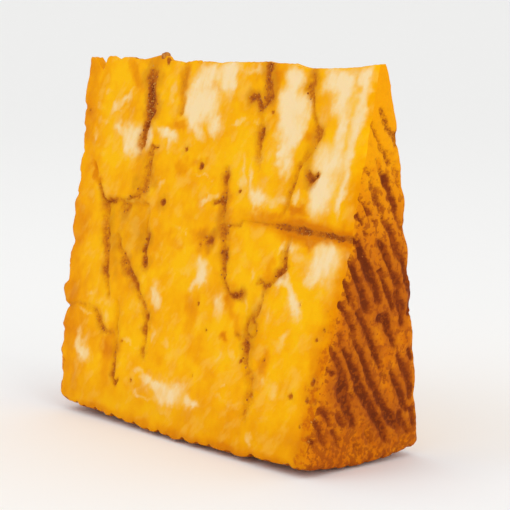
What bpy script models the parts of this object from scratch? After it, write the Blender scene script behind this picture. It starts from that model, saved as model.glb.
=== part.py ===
"""A thin wedge of spicy cured sheep cheese, standing tip up on the curved side rind of its wheel.

The wedge is described in wheel coordinates: x runs along the wheel's axis, r is the distance from the
axis and phi the angle from the wedge's middle plane. The wheel's axis lies level above the tip, so r
grows downward. One cut face looks toward -Y, the wheel's two flat faces look toward -X and +X, and the
side rind is underneath. Lengths are metres and +Z is up.
"""
import math
import random

import bmesh
import bpy
from mathutils import Matrix, Vector

MM = 0.001

# Driving dimensions of the wedge.
WHEEL_RADIUS = 95.0 * MM
WEDGE_ANGLE = math.radians(21.6)
TIP_RADIUS = 5.2 * MM
AXIS_HEIGHT = 96.2 * MM
BARREL_BULGE = 1.7 * MM
SHOULDER_ROUNDING = 4.0 * MM
SHOULDER_SEGMENTS = 3
# Half thickness of the wheel at its axis, halfway out and at its rim, on either side.
HALF_THICKNESS_LEFT = (54.6 * MM, 52.5 * MM, 46.6 * MM)
HALF_THICKNESS_RIGHT = (54.8 * MM, 53.4 * MM, 49.0 * MM)

# Heights of the gentle waves in the faces, and the waves themselves in radians per metre.
CUT_UNEVENNESS = 0.35 * MM
CUT_LONG_WAVE = (88.0, 71.0)
CUT_SHORT_WAVE = (233.0, 157.0)
RIND_UNEVENNESS = 0.45 * MM
RIND_LONG_WAVE = (60.0, 96.0)
RIND_SHORT_WAVE = (190.0, 301.0)
TIP_UNEVENNESS = 0.25 * MM
TIP_WAVES = (171.0, 413.0)

# Number of cells that the block is divided into.
CELLS_ACROSS = 22
CELLS_THROUGH = 4
CELLS_DOWN = 18

# Slanting grooves that the mould's weave left in the flat faces.
WEAVE_LEAN = math.radians(28.0)
WEAVE_PITCH = 3.8 * MM
WEAVE_LINES = 16
WEAVE_HALF_WIDTH = 0.85 * MM
WEAVE_DEPTH = 0.6 * MM
WEAVE_TOP = 15.0 * MM
WEAVE_BOTTOM = 91.0 * MM
WEAVE_STROKE = (5.0 * MM, 12.0 * MM)
WEAVE_GAP = (1.6 * MM, 3.4 * MM)
WEAVE_START = (0.0, 2.0 * MM)
WEAVE_SHORTEST = 2.5 * MM
STROKE_TAPER = 0.8
# Distance of the grooves from the front edge of either flat face and from the rear edges.
PLAIN_STRIP_LEFT = -1.0 * MM
PLAIN_STRIP_RIGHT = 1.8 * MM
PLAIN_STRIP_REAR = 0.6 * MM

# Braids of the mould that ran around the side rind, and the smooth spot that the wedge rests on.
BRAID_WIDTH = 9.6 * MM
BRAIDS_EACH_SIDE = 5
BRAID_PITCH = 6.2 * MM
BRAID_STROKE = (0.32, 0.26)
OUTERMOST_BRAID = 45.0 * MM
RESTING_SPOT_HALF_LENGTH = 29.0 * MM
RESTING_SPOT_HALF_WIDTH = 11.5 * MM

# Notch in the tip edge.
NOTCH_AT = -48.0 * MM
NOTCH_DEPTH = 2.4 * MM
NOTCH_RADIUS = 2.2 * MM
NOTCH_REACH = 12.0 * MM
NOTCH_TURN = math.radians(24.0)
# Grain of spice that stands on the tip edge.
CRUMB_AT = -22.6 * MM
CRUMB_RADIUS = 1.1 * MM
CRUMB_LIFT = 0.45 * MM

# Slip in the cut face: below it the face lies deeper, and comes back further down.
STEP_LEFT = -38.4 * MM
STEP_RIGHT = -19.2 * MM
STEP_TOP = 41.8 * MM
STEP_END = 60.0 * MM
STEP_DEPTH = 1.1 * MM
STEP_LEAN = math.radians(11.0)
STEP_BLOCK = 4.0 * MM

# Height over the surface at which a crack's tube or a hole's ball is centred.
CRACK_LIFT = 0.12 * MM
# Cracks of the front cut face. Each point is x, r and half width, in millimetres.
FRONT_CRACKS = (
    ((-22.5, 4.5, 0.7), (-26.0, 9.0, 1.6), (-26.0, 13.5, 1.3), (-25.3, 20.0, 1.4), (-27.2, 28.5, 0.7)),
    ((-22.0, 26.5, 0.6), (-22.6, 33.0, 1.1), (-24.5, 40.5, 0.9)),
    ((-46.0, 33.0, 0.5), (-41.0, 40.0, 0.9), (-38.6, 48.0, 1.0), (-34.5, 58.0, 0.9), (-31.5, 66.0, 0.6)),
    ((-50.0, 71.0, 0.4), (-42.0, 70.0, 0.7), (-34.0, 74.0, 0.8), (-26.5, 78.0, 0.5)),
    ((-28.0, 44.0, 0.5), (-30.6, 51.0, 0.8), (-27.0, 57.0, 1.1), (-19.0, 63.5, 0.8),
     (-14.6, 70.0, 1.2), (-14.6, 78.5, 0.5)),
    ((-21.3, 43.0, 0.5), (-19.6, 50.5, 1.4), (-18.7, 56.0, 0.5)),
    ((-13.2, 6.5, 0.5), (-13.4, 12.0, 0.9), (-13.0, 18.5, 0.5)),
    ((8.0, 31.0, 0.6), (8.5, 38.5, 1.1), (10.4, 46.0, 1.1), (12.0, 55.0, 1.0), (15.0, 59.5, 0.7),
     (19.8, 59.6, 1.3)),
    ((18.0, 5.6, 1.2), (19.4, 12.0, 1.2), (19.2, 19.0, 0.9), (19.0, 27.0, 0.4)),
    ((13.4, 13.4, 1.0), (17.6, 15.0, 0.9)),
    ((33.5, 6.0, 0.8), (35.6, 15.0, 0.9), (38.6, 21.5, 1.0), (34.4, 27.5, 0.9), (31.0, 39.0, 0.5)),
    ((36.6, 30.8, 0.6), (39.6, 30.4, 0.9)),
    ((19.5, 42.0, 0.4), (30.0, 42.8, 0.8), (38.0, 43.2, 1.2), (47.0, 43.4, 0.9), (54.5, 43.7, 0.9)),
    ((33.0, 45.0, 0.5), (32.8, 52.5, 0.9), (27.6, 57.0, 0.7), (25.6, 65.0, 1.0), (24.8, 73.0, 0.7),
     (27.4, 80.0, 0.8), (27.0, 88.0, 0.4)),
)
# Small holes of the front cut face, as x, r and radius, in millimetres.
FRONT_HOLES = (
    (5.2, 48.0, 1.3), (-2.5, 30.5, 0.7), (-9.0, 27.0, 0.7), (-15.0, 40.5, 1.0), (15.5, 43.2, 0.7),
    (-18.0, 86.0, 0.7), (4.5, 63.5, 0.6), (5.4, 39.0, 0.7), (-31.2, 43.2, 1.0), (13.4, 35.4, 0.5),
)
# Cracks and holes of the rear cut face, in the same manner.
REAR_CRACKS = (
    ((-36.0, 5.6, 0.9), (-34.0, 13.0, 1.2), (-37.0, 22.0, 0.9), (-35.5, 31.0, 0.5)),
    ((-12.0, 24.0, 0.5), (-9.0, 33.0, 1.0), (-11.0, 43.0, 1.1), (-6.0, 52.0, 0.8), (-7.0, 61.0, 0.5)),
    ((12.0, 6.0, 0.8), (10.5, 14.0, 1.1), (13.5, 23.0, 0.6)),
    ((28.0, 30.0, 0.5), (31.0, 40.0, 1.0), (27.5, 50.0, 1.1), (29.0, 63.0, 0.8), (24.0, 74.0, 0.5)),
    ((-47.0, 52.0, 0.5), (-38.0, 51.0, 1.0), (-28.0, 53.5, 0.9), (-21.0, 52.5, 0.4)),
    ((-30.0, 62.0, 0.5), (-26.0, 71.0, 0.9), (-29.0, 83.0, 0.5)),
    ((6.0, 69.0, 0.5), (9.0, 77.0, 0.9), (5.5, 86.0, 0.4)),
    ((40.0, 12.0, 0.5), (42.5, 21.0, 0.9), (39.5, 28.0, 0.5)),
)
REAR_HOLES = (
    (-22.0, 38.0, 1.1), (3.0, 42.0, 0.8), (20.0, 57.0, 1.2), (41.0, 47.0, 0.8), (-44.0, 70.0, 0.8),
    (36.0, 81.0, 0.7), (-4.0, 15.0, 0.8), (23.0, 17.0, 0.6),
)

FRONT = -1
REAR = 1
LEFT = -1
RIGHT = 1


def clear_scene():
    """Empty the scene."""
    for item in list(bpy.data.objects):
        bpy.data.objects.remove(item, do_unlink=True)


def new_collection(name):
    """Make a collection in the scene."""
    collection = bpy.data.collections.new(name)
    bpy.context.scene.collection.children.link(collection)
    return collection


def add_mesh_object(name, mesh_data, collection):
    """Turn a bmesh into an object of a collection."""
    mesh = bpy.data.meshes.new(name)
    mesh_data.to_mesh(mesh)
    mesh_data.free()
    item = bpy.data.objects.new(name, mesh)
    collection.objects.link(item)
    return item


def mark_as_cutter(item):
    """Show a cutter as wires and keep it out of pictures."""
    item.hide_render = True
    item.display_type = 'WIRE'


def cheese_material():
    """Amber paste that has soaked up red oil."""
    material = bpy.data.materials.new("spiced_sheep_cheese")
    material.use_nodes = True
    shader = material.node_tree.nodes["Principled BSDF"]
    shader.inputs["Base Color"].default_value = (0.87, 0.37, 0.012, 1.0)
    shader.inputs["Roughness"].default_value = 0.45
    shader.inputs["Metallic"].default_value = 0.0
    material.diffuse_color = (0.87, 0.37, 0.012, 1.0)
    return material


def half_thickness(radius, side):
    """Half thickness of the wheel at a distance from its axis: a parabola through three values."""
    at_axis, halfway, at_rim = HALF_THICKNESS_RIGHT if side == RIGHT else HALF_THICKNESS_LEFT
    t = radius / WHEEL_RADIUS
    return at_axis * (1 - t) * (1 - 2 * t) + halfway * 4 * t * (1 - t) + at_rim * t * (2 * t - 1)


def cut_lift(x, radius, side):
    """Unevenness of a cut face, outward."""
    shift = 0.0 if side == FRONT else 2.1
    long_wave = math.sin(x * CUT_LONG_WAVE[0] + shift) * math.cos(radius * CUT_LONG_WAVE[1] + shift)
    short_wave = math.sin(x * CUT_SHORT_WAVE[0] + radius * CUT_SHORT_WAVE[1] + shift)
    return CUT_UNEVENNESS * (0.65 * long_wave + 0.35 * short_wave)


def rind_lift(along, radius, side):
    """Unevenness of a flat face of the wheel, outward."""
    shift = 0.4 * side
    long_wave = math.sin(radius * RIND_LONG_WAVE[1] + along * RIND_LONG_WAVE[0] + shift)
    short_wave = math.sin(radius * RIND_SHORT_WAVE[1] - along * RIND_SHORT_WAVE[0] + shift)
    return RIND_UNEVENNESS * (0.6 * long_wave + 0.4 * short_wave)


def tip_radius(x):
    """Distance of the worn tip edge from the axis."""
    wave = math.sin(x * TIP_WAVES[0] + 0.6) + 0.6 * math.sin(x * TIP_WAVES[1])
    return TIP_RADIUS + TIP_UNEVENNESS * wave


def rim_radius(u):
    """Radius of the side rind, which swells toward the middle of the wheel's thickness."""
    return WHEEL_RADIUS + BARREL_BULGE * (1 - u * u)


def wheel_point(x, radius, angle):
    """Place of a point given in wheel coordinates."""
    return Vector((x, radius * math.sin(angle), AXIS_HEIGHT - radius * math.cos(angle)))


def cut_normal(side):
    """Outward direction of a cut face."""
    half = WEDGE_ANGLE / 2
    return Vector((0.0, side * math.cos(half), math.sin(half)))


def cut_point(x, radius, side, lift):
    """Point over a cut face, raised by lift along the face's outward direction."""
    point = wheel_point(x, radius, side * WEDGE_ANGLE / 2)
    return point + (cut_lift(x, radius, side) + lift) * cut_normal(side)


def flat_point(along, depth, side, lift):
    """Point over a flat face of the wheel, at a place along Y and a depth below the axis."""
    radius = math.hypot(along, depth)
    across = half_thickness(radius, side) + rind_lift(along, radius, side) + lift
    return Vector((side * across, along, AXIS_HEIGHT - depth))


def rim_point(x, arc, side, lift):
    """Point over the side rind, at a place across the wheel and along the rim."""
    radius = rim_radius(x / half_thickness(WHEEL_RADIUS, side))
    return wheel_point(x, radius + lift, arc / radius)


def bend_to_wedge(u, v, w):
    """Place of a block's point: u across the thickness and v through the wedge, both from -1 to 1,
    and w from the tip at 0 to the rind at 1."""
    side = RIGHT if u > 0 else LEFT
    start = tip_radius(u * HALF_THICKNESS_RIGHT[0])
    radius = start + w * (rim_radius(u) - start)
    angle = v * WEDGE_ANGLE / 2
    across = half_thickness(radius, side) + u * u * rind_lift(radius * math.sin(angle), radius, side)
    point = wheel_point(u * across, radius, angle)
    face = REAR if v > 0 else FRONT
    return point + abs(v) * cut_lift(point.x, radius, face) * cut_normal(face)


def divide(mesh_data, axis, cells):
    """Cut all of a block's edges along one axis into equal lengths."""
    edges = []
    for edge in mesh_data.edges:
        step = edge.verts[1].co - edge.verts[0].co
        if abs(step[axis]) > 0.9 * step.length:
            edges.append(edge)
    bmesh.ops.subdivide_edges(mesh_data, edges=edges, cuts=cells - 1, use_grid_fill=True)


def wedge_body(collection):
    """A divided block with rounded shoulders, bent into the wedge."""
    mesh_data = bmesh.new()
    bmesh.ops.create_cube(mesh_data, size=2.0)
    width = HALF_THICKNESS_RIGHT[1]
    depth = WHEEL_RADIUS * math.sin(WEDGE_ANGLE / 2)
    height = (WHEEL_RADIUS - TIP_RADIUS) / 2
    size = Matrix.Diagonal((width, depth, height, 1.0))
    bmesh.ops.transform(mesh_data, matrix=size, verts=mesh_data.verts)
    shoulders = []
    for edge in mesh_data.edges:
        low = all(vert.co.z < 0 for vert in edge.verts)
        through = abs(edge.verts[0].co.y - edge.verts[1].co.y) > depth
        if low and through:
            shoulders.append(edge)
    bmesh.ops.bevel(mesh_data, geom=shoulders, offset=SHOULDER_ROUNDING, segments=SHOULDER_SEGMENTS,
                    profile=0.5, affect='EDGES')
    divide(mesh_data, 0, CELLS_ACROSS)
    divide(mesh_data, 1, CELLS_THROUGH)
    divide(mesh_data, 2, CELLS_DOWN)
    for vert in mesh_data.verts:
        u = vert.co.x / width
        v = vert.co.y / depth
        w = (height - vert.co.z) / (2 * height)
        vert.co = bend_to_wedge(u, v, w)
    bmesh.ops.triangulate(mesh_data, faces=mesh_data.faces[:])
    bmesh.ops.recalc_face_normals(mesh_data, faces=mesh_data.faces)
    return add_mesh_object("cheese_wedge", mesh_data, collection)


def tube_cutter(name, points, radii, collection):
    """A tapering closed tube through points."""
    curve = bpy.data.curves.new(name, 'CURVE')
    curve.dimensions = '3D'
    curve.bevel_depth = 1.0
    curve.bevel_resolution = 1
    curve.use_fill_caps = True
    spline = curve.splines.new('POLY')
    spline.points.add(len(points) - 1)
    for target, point, radius in zip(spline.points, points, radii):
        target.co = (point.x, point.y, point.z, 1.0)
        target.radius = radius
    rail = bpy.data.objects.new(name + "_rail", curve)
    collection.objects.link(rail)
    depsgraph = bpy.context.evaluated_depsgraph_get()
    mesh = bpy.data.meshes.new_from_object(rail.evaluated_get(depsgraph))
    mesh_data = bmesh.new()
    mesh_data.from_mesh(mesh)
    bmesh.ops.remove_doubles(mesh_data, verts=mesh_data.verts, dist=0.00001)
    bmesh.ops.recalc_face_normals(mesh_data, faces=mesh_data.faces)
    mesh_data.to_mesh(mesh)
    mesh_data.free()
    cutter = bpy.data.objects.new(name, mesh)
    cutter.matrix_world = rail.matrix_world
    collection.objects.link(cutter)
    bpy.data.objects.remove(rail, do_unlink=True)
    mark_as_cutter(cutter)


def ball(name, centre, radius, collection):
    """A coarse ball, turned so that none of its faces lies along the cheese's."""
    mesh_data = bmesh.new()
    place = Matrix.Translation(centre) @ Matrix.Rotation(0.4, 4, 'X')
    bmesh.ops.create_icosphere(mesh_data, subdivisions=1, radius=radius, matrix=place)
    return add_mesh_object(name, mesh_data, collection)


def crack_cutters(prefix, cracks, side, collection):
    """Tubes that open the cracks of a cut face."""
    for number, crack in enumerate(cracks):
        points = []
        radii = []
        for x, radius, half_width in crack:
            points.append(cut_point(x * MM, radius * MM, side, CRACK_LIFT))
            radii.append(half_width * MM)
        tube_cutter("%s_crack_%02d" % (prefix, number + 1), points, radii, collection)


def hole_cutters(prefix, holes, side, collection):
    """Balls that open the small holes of a cut face."""
    for number, (x, radius, size) in enumerate(holes):
        centre = cut_point(x * MM, radius * MM, side, CRACK_LIFT)
        cutter = ball("%s_hole_%02d" % (prefix, number + 1), centre, size * MM, collection)
        mark_as_cutter(cutter)


def block_cutter(name, size, place, collection):
    """A block of given size that is turned and moved into place."""
    mesh_data = bmesh.new()
    bmesh.ops.create_cube(mesh_data, size=1.0)
    stretch = Matrix.Diagonal((size[0], size[1], size[2], 1.0))
    bmesh.ops.transform(mesh_data, matrix=place @ stretch, verts=mesh_data.verts)
    mark_as_cutter(add_mesh_object(name, mesh_data, collection))


def step_cutter(collection):
    """A tilted block that sinks the cut face below the slip and runs out further down."""
    length = STEP_END - STEP_TOP
    size = (STEP_RIGHT - STEP_LEFT, STEP_BLOCK, length)
    lean = Matrix.Rotation(STEP_LEAN, 4, 'Y')
    tilt = Matrix.Rotation(-WEDGE_ANGLE / 2 + math.atan(STEP_DEPTH / length), 4, 'X')
    middle = cut_point((STEP_LEFT + STEP_RIGHT) / 2, (STEP_TOP + STEP_END) / 2, FRONT,
                       (STEP_BLOCK - STEP_DEPTH) / 2)
    block_cutter("slip_step", size, Matrix.Translation(middle) @ tilt @ lean, collection)


def ground_cutter(collection):
    """A block that flattens the lowest part of the side rind at z = 0."""
    size = (200.0 * MM, 80.0 * MM, 20.0 * MM)
    block_cutter("ground", size, Matrix.Translation((0.0, 0.0, -size[2] / 2)), collection)


def notch_cutter(collection):
    """A five-sided bar that notches the tip edge."""
    turn = Matrix.Rotation(math.radians(90.0), 4, 'X') @ Matrix.Rotation(NOTCH_TURN, 4, 'Z')
    bottom = AXIS_HEIGHT - TIP_RADIUS - NOTCH_DEPTH
    place = Matrix.Translation((NOTCH_AT, 0.0, bottom + NOTCH_RADIUS))
    mesh_data = bmesh.new()
    bmesh.ops.create_cone(mesh_data, cap_ends=True, segments=5, radius1=NOTCH_RADIUS,
                          radius2=0.8 * NOTCH_RADIUS, depth=NOTCH_REACH, matrix=place @ turn)
    mark_as_cutter(add_mesh_object("tip_notch", mesh_data, collection))


def stroke_cutter(name, place, side, start, end, collection):
    """A short tube that follows a rind between two places and runs out at both ends."""
    radius = (WEAVE_HALF_WIDTH ** 2 + WEAVE_DEPTH ** 2) / (2 * WEAVE_DEPTH)
    lift = radius - WEAVE_DEPTH
    points = []
    for step in (0.0, 0.5, 1.0):
        first = start[0] + (end[0] - start[0]) * step
        second = start[1] + (end[1] - start[1]) * step
        points.append(place(first, second, side, lift))
    tube_cutter(name, points, (STROKE_TAPER * radius, radius, STROKE_TAPER * radius), collection)


def face_weave_cutters(prefix, side, seed, collection):
    """Broken slanting grooves of a flat face."""
    chance = random.Random(seed)
    sine = math.sin(WEAVE_LEAN)
    cosine = math.cos(WEAVE_LEAN)
    spread = math.tan(WEDGE_ANGLE / 2)
    strip = PLAIN_STRIP_RIGHT if side == RIGHT else PLAIN_STRIP_LEFT
    number = 0
    for line in range(1, WEAVE_LINES):
        offset = line * WEAVE_PITCH
        first = max(WEAVE_TOP, offset / (sine + spread * cosine)) + strip
        last = min(WEAVE_BOTTOM, offset / (sine - spread * cosine)) - PLAIN_STRIP_REAR
        depth = first + chance.uniform(*WEAVE_START)
        while depth < last - WEAVE_SHORTEST:
            lower = min(depth + chance.uniform(*WEAVE_STROKE) * cosine, last)
            start = ((depth * sine - offset) / cosine, depth)
            end = ((lower * sine - offset) / cosine, lower)
            number += 1
            stroke_cutter("%s_weave_%02d" % (prefix, number), flat_point, side, start, end, collection)
            depth = lower + chance.uniform(*WEAVE_GAP)


def on_resting_spot(x, arc):
    """Whether a place of the side rind belongs to the part that the wedge rests on."""
    return abs(x) < RESTING_SPOT_HALF_LENGTH and abs(arc) < RESTING_SPOT_HALF_WIDTH


def braid_cutters(collection):
    """Slanting grooves of the braids, and the grooves between one braid and the next."""
    reach = WHEEL_RADIUS * WEDGE_ANGLE / 2
    number = 0
    for braid in range(-BRAIDS_EACH_SIDE, BRAIDS_EACH_SIDE):
        middle = (braid + 0.5) * BRAID_WIDTH
        half_across = BRAID_STROKE[0] * BRAID_WIDTH
        half_along = BRAID_STROKE[1] * BRAID_WIDTH * (1 if braid % 2 else -1)
        side = RIGHT if middle > 0 else LEFT
        for place in range(-3, 4):
            arc = place * BRAID_PITCH
            start = (middle - half_across, arc - half_along)
            end = (middle + half_across, arc + half_along)
            smooth = on_resting_spot(*start) or on_resting_spot(*end) or on_resting_spot(middle, arc)
            if smooth or abs(arc) > reach or abs(middle) > OUTERMOST_BRAID:
                continue
            number += 1
            stroke_cutter("braid_stroke_%02d" % number, rim_point, side, start, end, collection)
    for border in range(1 - BRAIDS_EACH_SIDE, BRAIDS_EACH_SIDE):
        x = border * BRAID_WIDTH
        side = RIGHT if x > 0 else LEFT
        inner = RESTING_SPOT_HALF_WIDTH if on_resting_spot(x, 0.0) else 0.0
        for edge in (FRONT, REAR):
            number += 1
            stroke_cutter("braid_border_%02d" % number, rim_point, side, (x, edge * inner),
                          (x, edge * (reach + 1.0 * MM)), collection)


def cut_with(body, cutters):
    """Take a collection of cutters away from the body."""
    modifier = body.modifiers.new("relief", 'BOOLEAN')
    modifier.operation = 'DIFFERENCE'
    modifier.solver = 'EXACT'
    modifier.operand_type = 'COLLECTION'
    modifier.collection = cutters
    bpy.context.view_layer.objects.active = body
    bpy.ops.object.modifier_apply(modifier=modifier.name)
    for cutter in list(cutters.objects):
        bpy.data.objects.remove(cutter, do_unlink=True)


def fuse_crumb(body, collection):
    """Join the grain of spice to the tip edge."""
    centre = Vector((CRUMB_AT, 0.0, AXIS_HEIGHT - tip_radius(CRUMB_AT) + CRUMB_LIFT))
    crumb = ball("spice_crumb", centre, CRUMB_RADIUS, collection)
    modifier = body.modifiers.new("crumb", 'BOOLEAN')
    modifier.operation = 'UNION'
    modifier.solver = 'EXACT'
    modifier.object = crumb
    bpy.context.view_layer.objects.active = body
    bpy.ops.object.modifier_apply(modifier=modifier.name)
    bpy.data.objects.remove(crumb, do_unlink=True)


def centre_on_origin(body):
    """Bring the middle of the outline over the origin."""
    xs = [vert.co.x for vert in body.data.vertices]
    ys = [vert.co.y for vert in body.data.vertices]
    move = Vector((-(min(xs) + max(xs)) / 2, -(min(ys) + max(ys)) / 2, 0.0))
    body.data.transform(Matrix.Translation(move))


def build():
    """Model the wedge."""
    clear_scene()
    parts = new_collection("spicy_sheep_cheese_wedge")
    cutters = new_collection("cutters")
    body = wedge_body(parts)
    body.data.materials.append(cheese_material())
    crack_cutters("front", FRONT_CRACKS, FRONT, cutters)
    crack_cutters("rear", REAR_CRACKS, REAR, cutters)
    hole_cutters("front", FRONT_HOLES, FRONT, cutters)
    hole_cutters("rear", REAR_HOLES, REAR, cutters)
    step_cutter(cutters)
    notch_cutter(cutters)
    face_weave_cutters("right", RIGHT, 5, cutters)
    face_weave_cutters("left", LEFT, 8, cutters)
    braid_cutters(cutters)
    ground_cutter(cutters)
    cut_with(body, cutters)
    fuse_crumb(body, parts)
    centre_on_origin(body)
    body.data.shade_smooth()
    body.data.set_sharp_from_angle(angle=math.radians(32.0))


build()
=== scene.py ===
import functools
import itertools
import math

import bpy
import numpy as np
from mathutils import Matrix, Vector


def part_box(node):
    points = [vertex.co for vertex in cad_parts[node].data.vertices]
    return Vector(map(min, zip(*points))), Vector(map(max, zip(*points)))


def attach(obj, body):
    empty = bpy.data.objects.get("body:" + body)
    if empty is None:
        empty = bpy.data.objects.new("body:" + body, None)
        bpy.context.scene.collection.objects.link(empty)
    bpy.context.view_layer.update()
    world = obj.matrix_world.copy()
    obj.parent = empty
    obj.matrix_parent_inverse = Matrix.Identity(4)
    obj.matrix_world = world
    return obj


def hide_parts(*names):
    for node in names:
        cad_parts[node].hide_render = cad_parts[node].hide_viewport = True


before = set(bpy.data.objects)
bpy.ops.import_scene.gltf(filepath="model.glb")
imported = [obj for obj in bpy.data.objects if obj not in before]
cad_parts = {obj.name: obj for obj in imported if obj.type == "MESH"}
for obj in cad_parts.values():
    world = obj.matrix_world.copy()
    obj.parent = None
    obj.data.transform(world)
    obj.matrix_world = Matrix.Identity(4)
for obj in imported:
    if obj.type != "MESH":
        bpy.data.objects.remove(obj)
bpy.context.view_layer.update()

# Lengths are millimetres until a mesh is made. Places on the cheese are given in the wheel's own
# coordinates: x along the wheel's axis, r outward from the axis (downward here) and the angle around it.
MM = 0.001
NODE = "cheese_wedge"

LOW, HIGH = (np.array(corner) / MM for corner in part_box(NODE))

# Driving dimensions of the wedge. The shoulder between a flat face and the side rind is rounded less on
# the right than on the left.
WHEEL_RADIUS = 95.0
WEDGE_ANGLE = math.radians(21.6)
HALF_ANGLE = WEDGE_ANGLE / 2
TIP_RADIUS = 5.2
AXIS_HEIGHT = 96.2
BARREL_BULGE = 1.7
SHOULDER_ROUNDING = (1.0, 2.0)
HALF_THICKNESS_LEFT = (54.6, 52.5, 46.6)
HALF_THICKNESS_RIGHT = (54.8, 53.4, 49.0)

# Cells of the surface: across the thickness, through the wedge and from tip to rind.
CELLS_ACROSS = 230
CELLS_THROUGH = 56
CELLS_DOWN = 196

# Outline of the worn tip edge, as x and r.
TIP_EDGE = (
    (-55.5, 5), (-54, 4.5), (-52.6, 4.9), (-51.8, 4.6), (-51, 5.6), (-50.2, 6.6), (-49.2, 7.5), (-48.3, 8),
    (-47.9, 7), (-47.6, 5), (-46.8, 4.2), (-45.8, 4.1), (-44.6, 4.5), (-43.2, 5), (-42.2, 5.1), (-40, 4.4),
    (-37.6, 4.4), (-33, 4.9), (-30, 4.7), (-27, 4.1), (-24.4, 3.7), (-21.6, 3.9), (-20.8, 4.9), (-18, 5.1),
    (-14.5, 5.6), (-12.8, 5.1), (-9.6, 4.7), (-8.5, 5.6), (-7.7, 5.5), (-6.8, 4.9), (-3, 5.2), (0.5, 5.2),
    (2, 4.9), (14, 4.8), (16.5, 4.5), (19.5, 4.9), (26, 4.9), (29, 5.6), (32, 5.9), (35, 5.8), (44, 5.5),
    (48, 5.3), (53, 4.6), (56, 4.5),
)
# How far the left edge stands out from the fair curve of the flat face, as r and distance.
LEFT_EDGE = (
    (5, 0.9), (8, 0.7), (10, 0.2), (12.5, 0.9), (15.5, 1.3), (18.5, 0.4), (22, 0.5), (25.5, -0.4),
    (28, -0.8), (31, -0.1), (34, 0), (38, -0.6), (41.5, 0.4), (44, 0.8), (46.5, -0.1), (50, 0.8), (52, 0.3),
    (54, -0.3), (57, 0.8), (60, 1.15), (62, 0.6), (64.2, 0.2), (65.8, 2.4), (68, 1.9), (70.6, 0.8),
    (72.5, 1.3), (76, 2.1), (78.5, 1.3), (80, 0.9), (82.5, 1.9), (85, 0.8), (88, 0.7), (91, 1), (95, 1),
)
# How far the rear cut face stands out along the right edge, as r and distance.
RIGHT_REAR_EDGE = (
    (5, 0.7), (10, 1.2), (15, 1.3), (20, 1.7), (22.3, 1.2), (28.5, 1.7), (32, 0.9), (37, 1.6), (42, 0.4),
    (47, 0.9), (52, 0.3), (58, 1.6), (62.5, 0.4), (67, 1), (71, 0.5), (77, 0.7), (82, -0.2), (87, 0.4),
    (92, 0.2), (96, 0.7),
)
# How far the side rind stands out along the shown lower edge, as x and distance.
FRONT_RIM_EDGE = (
    (-46, 0.2), (-36.3, 0.3), (-34, -0.1), (-30, -0.1), (-26.8, 0.3), (-23, -0.25), (-18.6, 0.45),
    (-13.9, 0), (-9, 0.6), (-3, 0.2), (2.1, 0.7), (5.4, 0.2), (8.9, 0.5), (13, 0.1), (18, 0.3), (27.4, 0.7),
    (31.3, 0.1), (37, 0.5), (42.9, 0.1), (46.3, 0.3), (50, 0.1),
)
# How much fuller the side rind is beside the right flat face than a fair barrel.
RIGHT_RIM_FULLNESS = 0.6
# Places across the wheel where one braid of the mould met the next on the side rind.
BRAID_BORDERS = (-40.0, -31.5, -24.0, -14.5, -4.5, 5.5, 16.0, 30.5, 43.5)

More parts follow.
